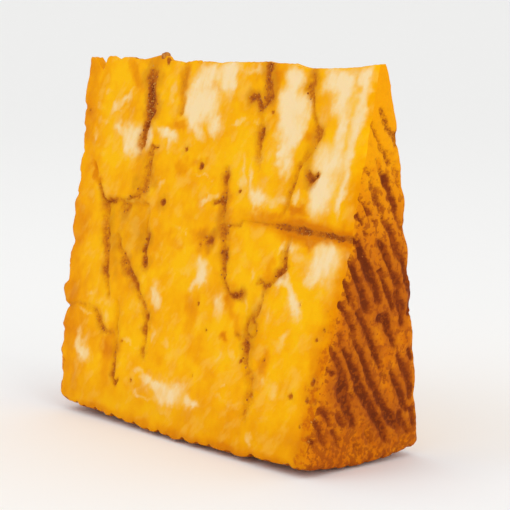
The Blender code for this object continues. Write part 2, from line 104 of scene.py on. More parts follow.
# Cracks of the shown cut face. Each point is x, r, half width and how much ground chilli shows.
FRONT_CRACKS = (
    ((-25.5, 6.8, 0.5, 0.5), (-26.3, 9.6, 1.9, 0.9), (-26.2, 12, 1.3, 1), (-25.2, 14.5, 1.4, 1),
     (-24.8, 17.5, 1.9, 0.8), (-25.3, 20.2, 1.2, 1), (-26.4, 23, 1.1, 0.65), (-27, 27, 1.1, 0.6),
     (-27.2, 29.4, 0.7, 0.5)),
    ((-22.6, 27.2, 0.7, 0.7), (-20.2, 27, 0.4, 0.6)),
    ((-22.8, 29, 1.2, 0.5), (-22.9, 32.5, 1.6, 0.6), (-22.2, 35.5, 1.7, 0.7), (-23.5, 38, 1.5, 0.7),
     (-25.3, 40.3, 1.2, 0.6)),
    ((-40.5, 42, 0.6, 0.6), (-37.5, 41.8, 0.5, 0.8), (-35.5, 41.8, 0.5, 0.8), (-33, 41.3, 0.5, 0.5),
     (-27, 40.6, 0.6, 0.6), (-23, 41, 0.5, 0.5), (-21, 41.6, 0.4, 0.4)),
    ((-32.6, 42.6, 1, 0.5), (-31, 43.4, 1.4, 0.7), (-29.4, 43, 0.8, 0.5)),
    ((-47, 32.5, 0.6, 0.15), (-44.5, 35.5, 0.6, 0.25), (-42.5, 38.5, 0.6, 0.4), (-41, 41, 0.7, 0.5),
     (-39.5, 43, 0.9, 0.5), (-38.8, 45.5, 0.9, 0.45), (-37.5, 50, 1, 0.6), (-36.2, 53, 1, 0.65),
     (-35, 57, 0.8, 0.55), (-34.7, 60.3, 0.9, 0.65), (-33, 63, 0.8, 0.5), (-31.8, 65.5, 0.6, 0.45)),
    ((-28.5, 67, 0.6, 0.2), (-27, 70, 0.6, 0.3), (-26.5, 74, 0.7, 0.4), (-26, 78, 0.8, 0.45),
     (-25.5, 82, 0.8, 0.5), (-25.2, 85.5, 0.8, 0.6), (-24.3, 87.5, 0.6, 0.6), (-22.8, 86.2, 0.4, 0.5)),
    ((-50, 70.3, 0.8, 0.4), (-46, 69.8, 0.6, 0.25), (-40, 69.9, 0.6, 0.35), (-36.5, 71, 0.7, 0.5),
     (-34.8, 73, 0.9, 0.6), (-33.5, 74.5, 0.8, 0.55), (-30, 75.6, 0.6, 0.4), (-27, 76, 0.6, 0.4)),
    ((-32.5, 50.5, 0.7, 0.4), (-31, 52.5, 1, 0.45), (-29.5, 55, 0.9, 0.45), (-26.5, 57.2, 1.1, 0.75),
     (-24.5, 58.8, 0.8, 0.6), (-22, 61, 0.9, 0.55), (-20, 63.5, 0.8, 0.6), (-17.5, 65.5, 0.8, 0.5),
     (-16, 67.5, 0.6, 0.5), (-14.7, 69.2, 1, 0.85), (-14.8, 70.7, 0.6, 0.5), (-15.3, 72.5, 0.9, 0.85),
     (-14.8, 75, 0.6, 0.45), (-14.6, 79, 0.8, 0.5)),
    ((-20.8, 43, 0.4, 0.3), (-20.5, 46.5, 0.4, 0.35), (-20.3, 49, 0.5, 0.5), (-19.4, 50.3, 1.2, 1),
     (-19.7, 52.5, 0.9, 1), (-19.8, 54, 0.4, 0.8), (-18.5, 56, 1.1, 0.8)),
    ((-14, 6, 0.8, 0.3), (-13, 8, 1, 0.35), (-13.5, 12, 1, 0.4), (-12.6, 13.5, 0.9, 0.4),
     (-12.8, 15.5, 0.7, 0.45), (-13.2, 18, 0.5, 0.5)),
    ((8, 31, 0.9, 0.4), (8.2, 32.5, 0.9, 0.7), (8.3, 35, 0.8, 0.4), (8.6, 38.5, 1, 0.8),
     (9.2, 40.5, 0.8, 0.7), (8.8, 43, 1.3, 0.45), (10.2, 45.4, 1.3, 0.65), (11, 48.5, 1.2, 0.5),
     (11.7, 50.8, 1.2, 0.75), (12, 53.5, 1, 0.5), (13, 56.5, 0.9, 0.45), (14.5, 58.8, 0.7, 0.5),
     (16.5, 59.8, 0.6, 0.6), (18.5, 59.8, 0.8, 0.85), (19.8, 59.5, 1, 1)),
    ((10.5, 44.2, 0.5, 0.5), (13.5, 44.2, 0.5, 0.45), (15.8, 43, 0.6, 0.55)),
    ((4.8, 39, 0.6, 0.6), (7.5, 38.7, 0.4, 0.6)),
    ((2, 48.2, 0.7, 0.55), (3.6, 47.6, 0.8, 0.6), (5.3, 48, 1.3, 1)),
    ((18.3, 5.8, 1.3, 0.95), (18.2, 8, 1, 0.8), (19.2, 10.5, 1.2, 0.85), (19.8, 13, 1.2, 0.85),
     (18.5, 14.8, 0.7, 0.6)),
    ((13.3, 13.3, 0.9, 0.95), (15.5, 14, 0.8, 0.85), (17.6, 15.8, 0.9, 0.85)),
    ((18.5, 18, 0.7, 0.4), (18.6, 21, 1, 0.75), (18.5, 24, 0.9, 0.65), (18.8, 27, 0.8, 0.5),
     (19, 30, 0.5, 0.25)),
    ((33.3, 5.6, 0.7, 0.6), (34.3, 8, 0.9, 0.6), (33.6, 10.5, 1, 0.65), (34.6, 13, 0.8, 0.55),
     (35.5, 15.5, 0.7, 0.4), (36.8, 18, 0.6, 0.4), (38.4, 20.8, 1, 0.65), (38.5, 22.4, 0.8, 0.5),
     (36.5, 24.5, 0.9, 0.3), (34.2, 27, 0.9, 0.5), (33.2, 29.5, 0.8, 0.45), (32.2, 32.5, 0.7, 0.5),
     (31.4, 36, 0.6, 0.4), (31, 39.5, 0.5, 0.3)),
    ((36.8, 30.3, 0.8, 0.8), (37.8, 31.3, 1.1, 0.85), (40, 30.2, 0.5, 0.9)),
    ((33.5, 45, 0.6, 0.3), (33, 48, 0.6, 0.5), (32.8, 51, 0.7, 0.6), (33, 52.6, 0.9, 0.85),
     (31.5, 53.8, 0.7, 0.6), (30, 55.4, 0.7, 0.55), (28.3, 56.5, 0.8, 0.7), (25, 56.3, 0.5, 0.55)),
    ((27.2, 58, 0.5, 0.45), (26.8, 61, 0.6, 0.5), (26.5, 63.5, 0.5, 0.4)),
    ((24, 65.2, 0.5, 0.55), (25.5, 64.3, 0.7, 0.75), (26.8, 65.5, 0.5, 0.55), (27, 67.5, 0.5, 0.5),
     (25.8, 69, 0.5, 0.5), (24, 68.3, 0.5, 0.5), (23.5, 66.5, 0.5, 0.55), (24, 65.2, 0.5, 0.55)),
    ((23.8, 70.3, 1.1, 0.85), (24.7, 72, 1.2, 0.65), (24.5, 74.5, 1.2, 0.6), (25.5, 76.3, 1, 0.5),
     (27, 78.3, 1, 0.5), (27.5, 81, 0.9, 0.5), (27.7, 84, 0.9, 0.5), (27, 87.5, 0.8, 0.4)),
    ((20, 68.7, 0.5, 0.6), (21.3, 69.3, 0.5, 0.6)),
)
# The smooth slit that runs in from the right flat face, in the same form.
FRONT_SLIT = (
    ((17, 42.4, 0.4, 0.15), (21, 42.3, 0.5, 0.3), (25, 42.6, 0.6, 0.4), (29, 42.7, 0.8, 0.55),
     (32, 42.8, 1.1, 0.8), (36, 42.9, 1.2, 0.85), (40, 43, 1, 0.8), (44, 43.2, 0.85, 0.75),
     (48, 43.4, 0.8, 0.7), (52, 43.5, 0.9, 0.75), (55, 43.4, 1, 0.85)),
)
# Small dark specks and holes of the shown cut face, as x, r, half width and darkness.
FRONT_SPECKS = (
    (-2.2, 30.5, 0.9, 0.75), (-9, 27, 0.7, 0.7), (-14.8, 40.7, 1.1, 0.85), (-52.3, 18.7, 0.6, 0.5),
    (13.8, 35.6, 0.5, 0.6), (4.2, 63.8, 0.6, 0.5), (8.5, 69.6, 0.4, 0.5), (-18.2, 86, 0.6, 0.55),
    (49.4, 64, 0.4, 0.85), (47.3, 66.7, 0.4, 0.6), (30.6, 73.5, 0.7, 0.4), (48.3, 76, 1, 0.7),
    (40, 59.4, 0.4, 0.5), (41.5, 80.2, 1, 0.5), (47, 79.8, 0.9, 0.55), (46, 86.4, 0.4, 0.5),
    (22.9, 75, 0.6, 0.6), (21.6, 16.3, 0.5, 0.6), (2.3, 49.6, 0.7, 0.4), (-20.6, 5.9, 0.8, 0.6),
    (-24, 76.8, 0.5, 0.5), (50.4, 84.2, 1.1, 0.8), (49.6, 88.8, 1, 0.8), (5.6, 81.2, 0.4, 0.3),
    (49.7, 80, 0.8, 0.55), (49.8, 77.2, 0.6, 0.45), (48.4, 80.9, 0.6, 0.4), (50.3, 90.6, 0.8, 0.5),
)
# Pale, unsoaked paste of the shown cut face: x, r, half length, half width, turn in degrees, paleness.
FRONT_PALE = (
    (43, 18, 6, 15, 12, 0.3), (28.4, 15, 4.4, 12, 3, 0.6), (-4, 14, 7.5, 8.5, 0, 0.6),
    (1, 7.5, 9, 3, 0, 0.35), (-30, 24.5, 8, 5.5, 0, 0.4), (45, 49.5, 6.5, 6.5, 10, 0.5),
    (20, 36, 5, 4.5, 0, 0.4), (-3, 86.5, 12, 4.5, 0, 0.35), (43, 32, 6, 9, 12, 0.5), (38, 60, 5, 3, 50, 0.4),
    (-41, 81, 4.5, 5, -10, 0.3), (3.5, 57, 5, 5, 0, 0.3), (-6.5, 16.3, 5.8, 4.8, -20, 1),
    (0.5, 7.6, 6.5, 2.1, -10, 0.8), (0.5, 20.5, 3.6, 2.4, 20, 0.8), (-5, 22.8, 3, 1.5, 40, 0.6),
    (-31.5, 25.6, 4.6, 3.9, 10, 0.9), (-37, 23.3, 4, 1.6, 0, 0.55), (-24.3, 24.6, 1.3, 3.3, 0, 0.7),
    (-16.6, 23.4, 5.2, 1.7, 17, 0.85), (-15.3, 26.6, 2, 1.5, 40, 0.6), (-37.5, 15.2, 6.8, 1.3, -34, 0.6),
    (-45, 13, 1.9, 1.3, 0, 0.5), (-47.5, 18, 2.5, 1.6, 0, 0.5), (-44.6, 21.6, 3.4, 1.3, 0, 0.5),
    (-47.4, 25, 2.1, 1.5, 0, 0.45), (-42.4, 30.2, 2, 1.6, 0, 0.4), (-17.5, 12.8, 1.3, 4, 15, 0.5),
    (28, 15.6, 4.6, 5.8, 0, 1), (30.6, 22, 3, 3.8, 20, 0.9), (27.6, 27, 2.4, 3.6, 0, 0.95),
    (28, 7.6, 3.6, 2.3, 0, 0.9), (41.8, 8.6, 5.8, 3.2, -5, 0.95), (46, 14, 3, 4.4, 15, 0.75),
    (49.6, 20, 1.6, 12, 3, 0.7), (45.4, 20.5, 1.6, 4.6, 12, 0.7), (42.4, 26.4, 4.4, 2.4, 8, 0.6),
    (42, 34.2, 3.8, 5.4, 14, 0.95), (48.3, 35.5, 1.3, 5.5, 4, 0.7), (46.6, 48.8, 4.2, 4.8, 10, 0.75),
    (42.4, 54.4, 2.8, 1.7, -40, 0.6), (37.6, 59, 5.6, 1.5, 58, 0.85), (33.4, 55.2, 2.6, 1.7, 10, 0.75),
    (20, 37, 2.3, 2.3, 0, 0.85), (14, 31, 1.1, 4.6, -8, 0.6), (17.3, 31.5, 0.9, 4.6, -6, 0.6),
    (3.2, 38.2, 4.6, 1, -24, 0.6), (-0.5, 33, 4, 0.5, 2, 0.45), (13.5, 7.2, 4.6, 0.8, 4, 0.55),
    (10.2, 19, 3.6, 0.7, -20, 0.6), (16.2, 19.3, 1.6, 1.3, 0, 0.55), (24.5, 22.5, 2.8, 1.4, 0, 0.45),
    (22, 27.4, 1.8, 1.8, 0, 0.45), (26.2, 37.2, 5, 1.2, -5, 0.5), (4.6, 54.4, 2, 2.4, 20, 0.7),
    (4, 58.2, 1.4, 2, 30, 0.65), (1.4, 59.6, 2, 1, -30, 0.55), (-12, 63.6, 2.3, 4, -10, 0.65),
    (-18.6, 68, 1.8, 1.6, 0, 0.5), (-5.5, 57, 4, 1.2, -10, 0.45), (-11.6, 73, 1.3, 2.6, 0, 0.5),
    (-6, 74.8, 1.3, 1.6, 0, 0.4), (-13.8, 54.4, 1.3, 1.3, 0, 0.4), (-2.6, 87, 5, 2.9, -6, 0.8),
    (-9.4, 85.8, 4.4, 1.5, 12, 0.7), (-15.6, 83.4, 3.8, 0.9, 12, 0.6), (-13.6, 89, 5, 0.7, 8, 0.5),
    (3, 84.4, 2.6, 1.6, -20, 0.5), (-2.6, 91.6, 4.4, 1, 0, 0.35), (-42.6, 79, 1.8, 3, -20, 0.65),
    (-38.4, 82.4, 3.6, 2.3, 25, 0.7), (-31.6, 71.7, 2.3, 2.2, 20, 0.6), (-33, 68, 3.6, 1.3, 5, 0.5),
    (-39.4, 66.2, 2.8, 1.1, -20, 0.4), (-42, 71.6, 2.8, 0.8, 10, 0.5), (-21, 76.6, 4.4, 0.8, 16, 0.5),
    (12.6, 64.2, 2, 4.2, -8, 0.6), (22.4, 62.6, 0.9, 2.6, 0, 0.5), (19, 73.6, 1.1, 1.9, -25, 0.5),
    (14.6, 75.6, 1.9, 1.2, 0, 0.45), (36.6, 68.6, 1.2, 3, 25, 0.55), (30.2, 65, 1.1, 4.2, 0, 0.4),
    (34.4, 79.2, 2.3, 2.7, -20, 0.6), (34, 87, 3, 0.5, 0, 0.4), (29.4, 92.3, 1.5, 1.9, -20, 0.6),
    (20, 85, 6, 0.6, 6, 0.45), (18, 81.8, 1, 0.8, 0, 0.45), (18.4, 51.4, 1.8, 2.8, -20, 0.4),
    (22.6, 54.6, 1, 1.6, 0, 0.45), (31.4, 47, 0.8, 1.9, 0, 0.7), (34.9, 46.6, 2, 1.4, 0, 0.65),
    (36.6, 49.4, 2.2, 1.5, 0, 0.5), (-3.6, 47.6, 1.6, 0.5, 45, 0.5), (-8.4, 46.6, 2.8, 1, 10, 0.4),
    (33.2, 35.2, 1.2, 1.9, 0, 0.75), (-17.2, 35.6, 2, 0.9, -10, 0.45), (31.8, 17, 2.8, 4.6, 0, 0.8),
    (4.5, 10, 2.6, 3.6, -20, 0.8), (-2, 15.6, 3.4, 3, 0, 0.8), (51.4, 12, 2.2, 9, 3, 0.9),
    (48.6, 24, 2.2, 5, 8, 0.6), (30.4, 28.8, 1.8, 2.6, 10, 0.6), (44.2, 12.2, 2.2, 3.4, 15, 0.7),
    (-6, 12.6, 4, 3, 0, 0.6), (6.5, 87.4, 4.6, 1.6, 8, 0.7),
)
# Deeper orange stains of the shown cut face, in the same form with the strength of the stain.
FRONT_STAINS = (
    (-34, 8.4, 5.5, 1.6, 50, 0.5), (-26, 5.6, 5, 1.8, 0, 0.5), (-52, 22, 3.5, 6, 0, 0.6),
    (-45.5, 35, 1.3, 4.5, -40, 0.7), (-13, 10.5, 1.8, 6.5, 0, 0.5), (-12.5, 21.2, 3, 1, 10, 0.5),
    (-10, 31, 2, 2, 0, 0.5), (-3, 30, 3, 0.9, 0, 0.4), (2, 65.5, 2.6, 4, 0, 0.45),
    (15.8, 70.8, 1.5, 0.8, 0, 0.8), (20.5, 10.5, 2.2, 4.5, 0, 0.6), (16, 61.5, 2, 3, 0, 0.6),
    (19, 66.5, 1.6, 3, -40, 0.5), (40.5, 45.5, 2, 2, 0, 0.7), (35, 38.6, 3.4, 1.3, 8, 0.7),
    (29, 41, 12, 1.3, 3, 0.6), (42, 45, 14, 1, 1, 0.5), (3, 48.2, 4, 3, 0, 0.6), (-8, 50, 4, 1.3, 20, 0.35),
    (31, 73.4, 1.5, 3, 0, 0.45), (28.5, 53, 1.6, 3.4, 20, 0.5), (5, 74, 4.5, 3, 20, 0.3),
    (-5, 80, 4, 2, 0, 0.25), (-29.5, 84, 2.5, 6, 0, 0.35), (36.5, 21, 2.6, 2.2, 0, 0.5),
    (9.5, 41.5, 2.5, 8.5, -8, 0.5), (50.5, 75, 4, 14, 0, 0.8), (54.5, 34, 2.6, 11, 0, 0.4),
    (-44, 88, 7, 5, 0, 0.4), (-1, 11.4, 6, 0.9, 3, 0.35), (-29, 78, 4, 3.5, 0, 0.5),
)
# Painted olive shade in the hollow below the slip and beside cracks, in the same form.
FRONT_PAINTED_SHADE = (
    (-36.6, 46.5, 1.8, 4.5, -14, 0.9), (-32.5, 55, 1.6, 6.5, -25, 0.7), (-22.6, 50, 2.2, 6, 0, 0.6),
    (-27.5, 36.6, 1.5, 1.8, 0, 0.8), (8.8, 43.6, 2, 4.4, -12, 0.6), (36, 27.5, 1.2, 3.2, -8, 0.7),
    (37, 25.6, 1.6, 2, 20, 0.4), (-31, 43.6, 3, 2, 0, 0.6), (-22, 58.5, 2.4, 1.8, 30, 0.5),
    (25, 67.5, 2.8, 6, 0, 0.75), (-26, 79, 1.8, 8, 0, 0.4), (12, 52, 1.8, 5, -10, 0.45),
)

# Marks of the rear cut face, which the photograph doesn't show, in the same forms.
REAR_CRACKS = (
    ((-36, 5.6, 0.9, 0.7), (-34, 13, 1.3, 0.95), (-37, 22, 1, 0.8), (-35.5, 31, 0.5, 0.4)),
    ((-12, 24, 0.5, 0.4), (-9, 33, 1.1, 0.8), (-11, 43, 1.2, 0.95), (-6, 52, 0.9, 0.7), (-7, 61, 0.5, 0.4)),
    ((12, 6, 0.8, 0.8), (10.5, 14, 1.2, 0.9), (13.5, 23, 0.6, 0.5)),
    ((28, 30, 0.5, 0.4), (31, 40, 1.1, 0.8), (27.5, 50, 1.2, 0.95), (29, 63, 0.8, 0.7), (24, 74, 0.5, 0.4)),
    ((-47, 52, 0.5, 0.5), (-38, 51, 1.1, 0.85), (-28, 53.5, 1, 0.8), (-21, 52.5, 0.4, 0.4)),
    ((-30, 62, 0.5, 0.4), (-26, 71, 1, 0.8), (-29, 83, 0.5, 0.5)),
    ((6, 69, 0.5, 0.5), (9, 77, 1, 0.8), (5.5, 86, 0.4, 0.4)),
    ((40, 12, 0.5, 0.4), (42.5, 21, 1, 0.75), (39.5, 28, 0.5, 0.5)),
)
REAR_SPECKS = (
    (-22, 38, 1.2, 0.9), (3, 42, 0.8, 0.7), (20, 57, 1.3, 1), (41, 47, 0.8, 0.7), (-44, 70, 0.8, 0.7),
    (36, 81, 0.7, 0.6), (-4, 15, 0.8, 0.7), (23, 17, 0.6, 0.6),
)

# Dark grooves of the right flat face. Each point is Y, depth below the axis, half width and darkness.
RIGHT_GROOVES = (
    ((-0.5, 14.6, 0.9, 0.5), (0.8, 17.6, 1, 0.55)),
    ((1.6, 18.6, 0.9, 0.5), (3.4, 20.4, 1, 0.6), (3.8, 22.6, 0.8, 0.6)),
    ((-2.9, 17.4, 0.6, 0.45), (-1.8, 19.8, 0.7, 0.5), (-0.2, 22.4, 0.8, 0.5), (2.6, 26.4, 0.9, 0.55)),
    ((3.6, 27.6, 0.7, 0.4), (4.6, 29.6, 0.8, 0.5), (5.4, 32, 0.6, 0.4)),
    ((-1.2, 25.6, 0.8, 0.4), (0, 28.4, 0.9, 0.5), (1.4, 30.2, 1.5, 0.9), (2.8, 33.2, 1, 0.7),
     (4.4, 37, 0.8, 0.75), (6, 39.6, 0.8, 0.55), (7, 41.6, 0.7, 0.5)),
    ((-4.8, 26.8, 0.5, 0.4), (-3.8, 28.6, 0.7, 0.5)),
    ((-3.2, 30.4, 0.9, 0.5), (-1.6, 33.4, 1.2, 0.6), (0.4, 36.6, 1.1, 0.6)),
    ((1.2, 38.4, 0.8, 0.55), (3.8, 42, 0.9, 0.7), (6, 46, 1, 0.75), (9, 51.4, 1, 0.8)),
    ((-6.4, 33.8, 0.4, 0.6), (-4.6, 35.2, 0.6, 0.6), (-3.2, 37.2, 0.9, 0.8)),
    ((-7.6, 37.4, 0.6, 0.8), (-6.2, 37.8, 0.7, 0.7), (-5.2, 39.2, 0.6, 0.6)),
    ((-2.4, 38.8, 0.5, 0.5), (-1.4, 39.4, 0.6, 0.55)),
    ((-4.8, 41.2, 0.6, 0.5), (-3.4, 42.2, 0.8, 0.6)),
    ((0.2, 43.4, 0.7, 0.75), (1.8, 45.4, 1.1, 0.9), (3.2, 48.2, 1, 0.9), (4.8, 51, 0.9, 0.8),
     (7.4, 54.8, 1.1, 0.85)),
    ((-8.8, 42.8, 0.7, 0.8), (-6.6, 43.4, 0.9, 0.9), (-5.2, 45.8, 1.2, 1), (-3.6, 48.6, 1.4, 0.95),
     (-1.8, 51.4, 1.5, 1), (0.2, 54.6, 1, 0.85), (1.4, 57.8, 1, 0.8)),
    ((-9.4, 46.2, 0.6, 0.6), (-8, 48.4, 0.9, 0.75), (-6.2, 51.6, 1.1, 0.95), (-4, 55, 1.3, 0.9),
     (-2.2, 58.6, 1.5, 0.9)),
    ((-10.4, 51.2, 0.8, 0.7), (-9, 53.2, 1, 0.75), (-7.6, 55.8, 0.9, 0.7), (-6, 58.2, 0.7, 0.6)),
    ((1.2, 50.8, 0.8, 0.75), (2.8, 53.4, 0.9, 0.8), (4.4, 56.4, 1, 0.8), (6.2, 59.4, 1, 0.8)),
    ((-11.6, 56, 0.9, 0.8), (-9.8, 57.8, 0.9, 0.75), (-7.6, 60.6, 0.9, 0.7), (-5.6, 63.4, 0.8, 0.8)),
    ((-8.2, 55.6, 0.6, 1), (-7.6, 57, 0.5, 0.8)),
    ((1.8, 61.4, 1.3, 1), (3.6, 61.6, 1.5, 1), (4.8, 64, 1.1, 0.9), (6.4, 67, 0.9, 0.8),
     (7.6, 68.4, 0.7, 0.7)),
    ((7, 56.6, 1, 0.8), (8.8, 60.2, 1.1, 0.8), (9.4, 63.6, 0.9, 0.7)),
    ((9.2, 52.4, 0.9, 0.8), (10.6, 57, 0.9, 0.85), (11.4, 61.6, 0.7, 0.8)),
    ((-4.8, 59.6, 1.1, 0.85), (-3.4, 61.8, 1.1, 0.8), (-1.6, 64.8, 1.2, 0.85), (0.4, 68, 1.1, 0.95),
     (2, 70.8, 0.9, 0.9), (3.2, 73, 0.6, 0.7)),
    ((-10.6, 63.6, 0.8, 0.6), (-9.6, 65.6, 0.8, 0.6)),
    ((-6.6, 64, 0.5, 0.6), (-4.8, 66.4, 0.9, 0.7)),
    ((-13.4, 66.2, 0.7, 0.65), (-11.8, 67.8, 1, 0.75), (-10, 70.6, 1, 0.8), (-8.6, 73.4, 1.4, 0.9),
     (-8.4, 76.4, 2.2, 1), (-7, 79.8, 1.6, 0.95), (-5.6, 83, 1.3, 0.9), (-3.6, 86, 0.9, 0.8)),
    ((-8.4, 67.6, 0.8, 0.9), (-6.8, 69.8, 1.1, 0.9), (-5.2, 72.6, 1.1, 0.95), (-3.6, 75.6, 1.4, 1),
     (-1.8, 78.4, 1.5, 1), (0.6, 81.6, 1.5, 1), (2.8, 84.6, 1.4, 1), (5.4, 88, 1.2, 0.95),
     (7.4, 91.2, 0.8, 0.8)),
    ((-5.4, 78, 0.6, 0.7), (-4.8, 78.6, 0.7, 0.7)),
    ((-4.6, 66.8, 0.9, 0.85), (-2.6, 69.8, 0.9, 0.9), (-1.2, 72.8, 1, 0.9), (0.6, 75.8, 1, 0.9),
     (2.6, 78.8, 1.1, 0.9), (4.8, 81.6, 1.1, 0.9), (6.4, 84, 1.3, 1), (8.4, 86, 1.7, 1),
     (10.4, 87.8, 1.2, 0.9)),
    ((4, 74.8, 0.9, 0.6), (5.2, 75.6, 0.8, 0.55)),
    ((7, 74.6, 0.7, 0.75), (8.8, 77.2, 0.9, 0.85), (10.8, 80.6, 1.1, 0.9), (13.2, 84.2, 0.9, 0.9)),
    ((9, 70.8, 0.7, 0.7), (11, 74.2, 1.1, 0.85), (12.8, 77.6, 1.1, 0.9), (14.2, 81, 0.9, 0.85)),
    ((12.2, 69.8, 0.6, 0.9), (13.2, 72.4, 0.6, 0.85)),
    ((10.6, 84.6, 1, 0.9), (12.4, 87.6, 1.2, 0.9), (14.2, 89.6, 0.8, 0.7)),
    ((14.8, 84.6, 0.9, 0.85), (15.8, 88.4, 0.9, 0.85)),
    ((-14.2, 80.6, 0.9, 0.7), (-12.4, 81.6, 1.2, 0.75), (-10.8, 84.4, 0.6, 0.6)),
    ((-16.4, 82.2, 0.9, 0.75), (-14.8, 84.8, 1, 0.75), (-13, 87.6, 0.9, 0.65), (-11.2, 90, 0.6, 0.5)),
    ((-17, 86.6, 0.8, 0.8), (-16, 88.4, 0.8, 0.8)),
    ((-9.8, 86.2, 0.9, 0.7), (-7.8, 89.6, 0.8, 0.6)),
    ((-8.8, 82.4, 0.9, 0.7), (-6.8, 85.2, 0.9, 0.75)),
    ((-13, 71.2, 0.7, 0.7), (-11.6, 72.2, 0.9, 0.75)),
    ((-18, 73.8, 0.6, 0.6), (-16.8, 75.2, 0.5, 0.5)),
    ((-18.6, 77.4, 0.5, 0.45), (-13.6, 79, 0.6, 0.5)),
    ((0.4, 87.6, 0.9, 0.55), (2.2, 91, 0.7, 0.5)),
    ((-2.6, 90.6, 0.6, 0.5), (-1.4, 92.4, 0.5, 0.4)),
    ((11.6, 91, 0.8, 0.5), (13, 92.6, 0.6, 0.45)),
)

# Ground chilli: number of grains and their least and greatest size, and the crumb on the tip.
GRAIN_COUNT = 900
GRAIN_SIZE = (0.18, 0.42)
GRAIN_SEED = 9
CRUMB_X = -23.2
CRUMB_RISE = 0.8
CRUMB_RADIUS = 1.1

# Rule for the grooves of the left flat face, which the photograph doesn't show.
WEAVE_LEAN = math.radians(29.0)
WEAVE_PITCH = 3.8
WEAVE_LINES = 16
WEAVE_REACH = (15.0, 91.0)
WEAVE_STROKE = (5.0, 12.0)
WEAVE_GAP = (1.4, 3.2)
WEAVE_SHORTEST = 2.5
WEAVE_PAST_FRONT = 1.0
WEAVE_BEFORE_REAR = 0.6
WEAVE_SEED = 8

# Rule for the strokes of the braids on the side rind: how far half a stroke leans, how far apart strokes
# are along the rim, and the x at which the outermost braids end.
BRAID_SLANT = 2.6
BRAID_PITCH = 4.4
BRAID_END = 50.0
BRAID_SEED = 21

# How far the marks of a stroke reach from its middle line, in half widths, and a soft ellipse in shares of
# its own size. The core ends at its value and the others fade between two. A speck is a stroke this long.
CORE_REACH = 1.3
DARK_REACH = (0.4, 1.5)
CUT_DARK_REACH = (0.15, 2.4)
FLAT_DARK_REACH = (0.2, 1.9)
HALO_REACH = (0.8, 3.8)
PATCH_REACH = (0.3, 1.6)
SPECK_LENGTH = 0.01

# Depths of the relief at the middle line of the strongest strokes, and the rise of pale paste.
CRACK_DEPTH = 0.95
HOLE_DEPTH = 0.6
SLIT_DEPTH = 1.1
GROOVE_DEPTH = 0.75
BRAID_DEPTH = 0.7
PALE_RISE = 0.06

# Shallow steps of the shown cut face: it sinks below a line across it and comes back up lower down. Each
# step is the r over which its line fades and the r of the way back, and then come its depth and the x over
# which its borders fade. The slip's borders lean, by so much x for each millimetre below its r.
SLIP = ((41.3, 42.1), (46.0, 62.0))
SLIP_DEPTH = 1.0
SLIP_R = 42.0
SLIP_BORDERS = (((-41.5, -39.5), 0.37), ((-22.0, -18.5), 0.12))
LOWER_LEFT_STEP = ((69.8, 70.8), (72.0, 84.0))
LOWER_LEFT_DEPTH = 0.45
LOWER_LEFT_BORDER = (-36.0, -30.0)
BELOW_SLIT_STEP = ((43.2, 44.2), (45.0, 56.0))
BELOW_SLIT_DEPTH = 0.3
BELOW_SLIT_BORDER = (20.0, 30.0)

# Wear of each face's creases: how far it lowers the face at the crease and how far in it reaches.
CREASE_WEAR = {
    "front": {"right": (0.8, 3.4), "left": (0.25, 1.2), "tip": (0.25, 0.9), "rim": (0.3, 1.4)},
    "rear": {"right": (0.25, 1.2), "left": (0.25, 1.2), "tip": (0.25, 0.9), "rim": (0.3, 1.4)},
    "left": {"front": (0.2, 1.0), "rear": (0.25, 1.2)},
    "right": {"front": (0.8, 3.4), "rear": (0.3, 1.2)},
    "rim": {"front": (0.3, 1.4), "rear": (0.3, 1.4)},
}
# How far a face's lift carries on past its creases, and how near a point of a face is to it.
CARRY = {"front": 4.5, "rear": 4.5, "left": 5.0, "right": 5.0, "rim": 4.0, "tip": 9.0}
ON_FACE = 0.01

# Large odd numbers that scatter the noise's lattice corners and seeds, and the plane that a face's noise is
# read in, which lies between two planes of the lattice.
SCATTER_PLACE = (73856093, 19349663, 83492791)
SCATTER_SEED = 83927
SCATTER_AGAIN = 1274126177
NOISE_PLANE = 0.37

# Steps from a cell's first corner round the cell, for a cell of one step and one of two.
AROUND_CELL = ((0, 0), (1, 0), (1, 1), (0, 1))
AROUND_WIDE_CELL = ((0, 0), (1, 0), (2, 0), (2, 1), (2, 2), (1, 2), (0, 2), (0, 1))


# Small numeric helpers.

def smooth(value, low, high):
    """A smooth step: 0 below low, 1 above high and 3t^2 - 2t^3 between."""
    t = np.clip((value - low) / (high - low), 0.0, 1.0)
    return t * t * (3.0 - 2.0 * t)


def lattice_noise(points, cell, seed):
    """Smooth random numbers from -1 to 1: one value hashed for each lattice corner, and the eight
    corners around a point blended by 3t^2 - 2t^3 along each axis."""
    spot = points / cell
    base = np.floor(spot).astype(np.int64)
    part = spot - base
    part = part * part * (3.0 - 2.0 * part)
    total = np.zeros(len(points))
    for corner in itertools.product((0, 1), repeat=3):
        key = (base + np.array(corner)) * SCATTER_PLACE
        mixed = key[:, 0] ^ key[:, 1] ^ key[:, 2] ^ (seed * SCATTER_SEED)
        mixed = (mixed ^ (mixed >> 13)) & 0xFFFFFFFF
        mixed = (mixed * SCATTER_AGAIN) & 0xFFFFFFFF
        value = ((mixed ^ (mixed >> 16)) & 0xFFFF) / 32767.5 - 1.0
        weight = np.prod(np.where(np.array(corner) == 1, part, 1.0 - part), axis=1)
        total += weight * value
    return total


def layered_noise(points, cell, seed, layers=3):
    """Lattice noise with finer layers added, each at half the cell and half the height."""
    total = np.zeros(len(points))
    height = 1.0
    for layer in range(layers):
        total += height * lattice_noise(points, cell / 2 ** layer, seed + 17 * layer)
        height *= 0.5
    return total


def flat_noise(first, second, cell, seed, layers=3):
    """Layered noise over a face's two coordinates."""
    third = np.full_like(first, NOISE_PLANE)
    return layered_noise(np.stack([first, second, third], axis=1), cell, seed, layers)


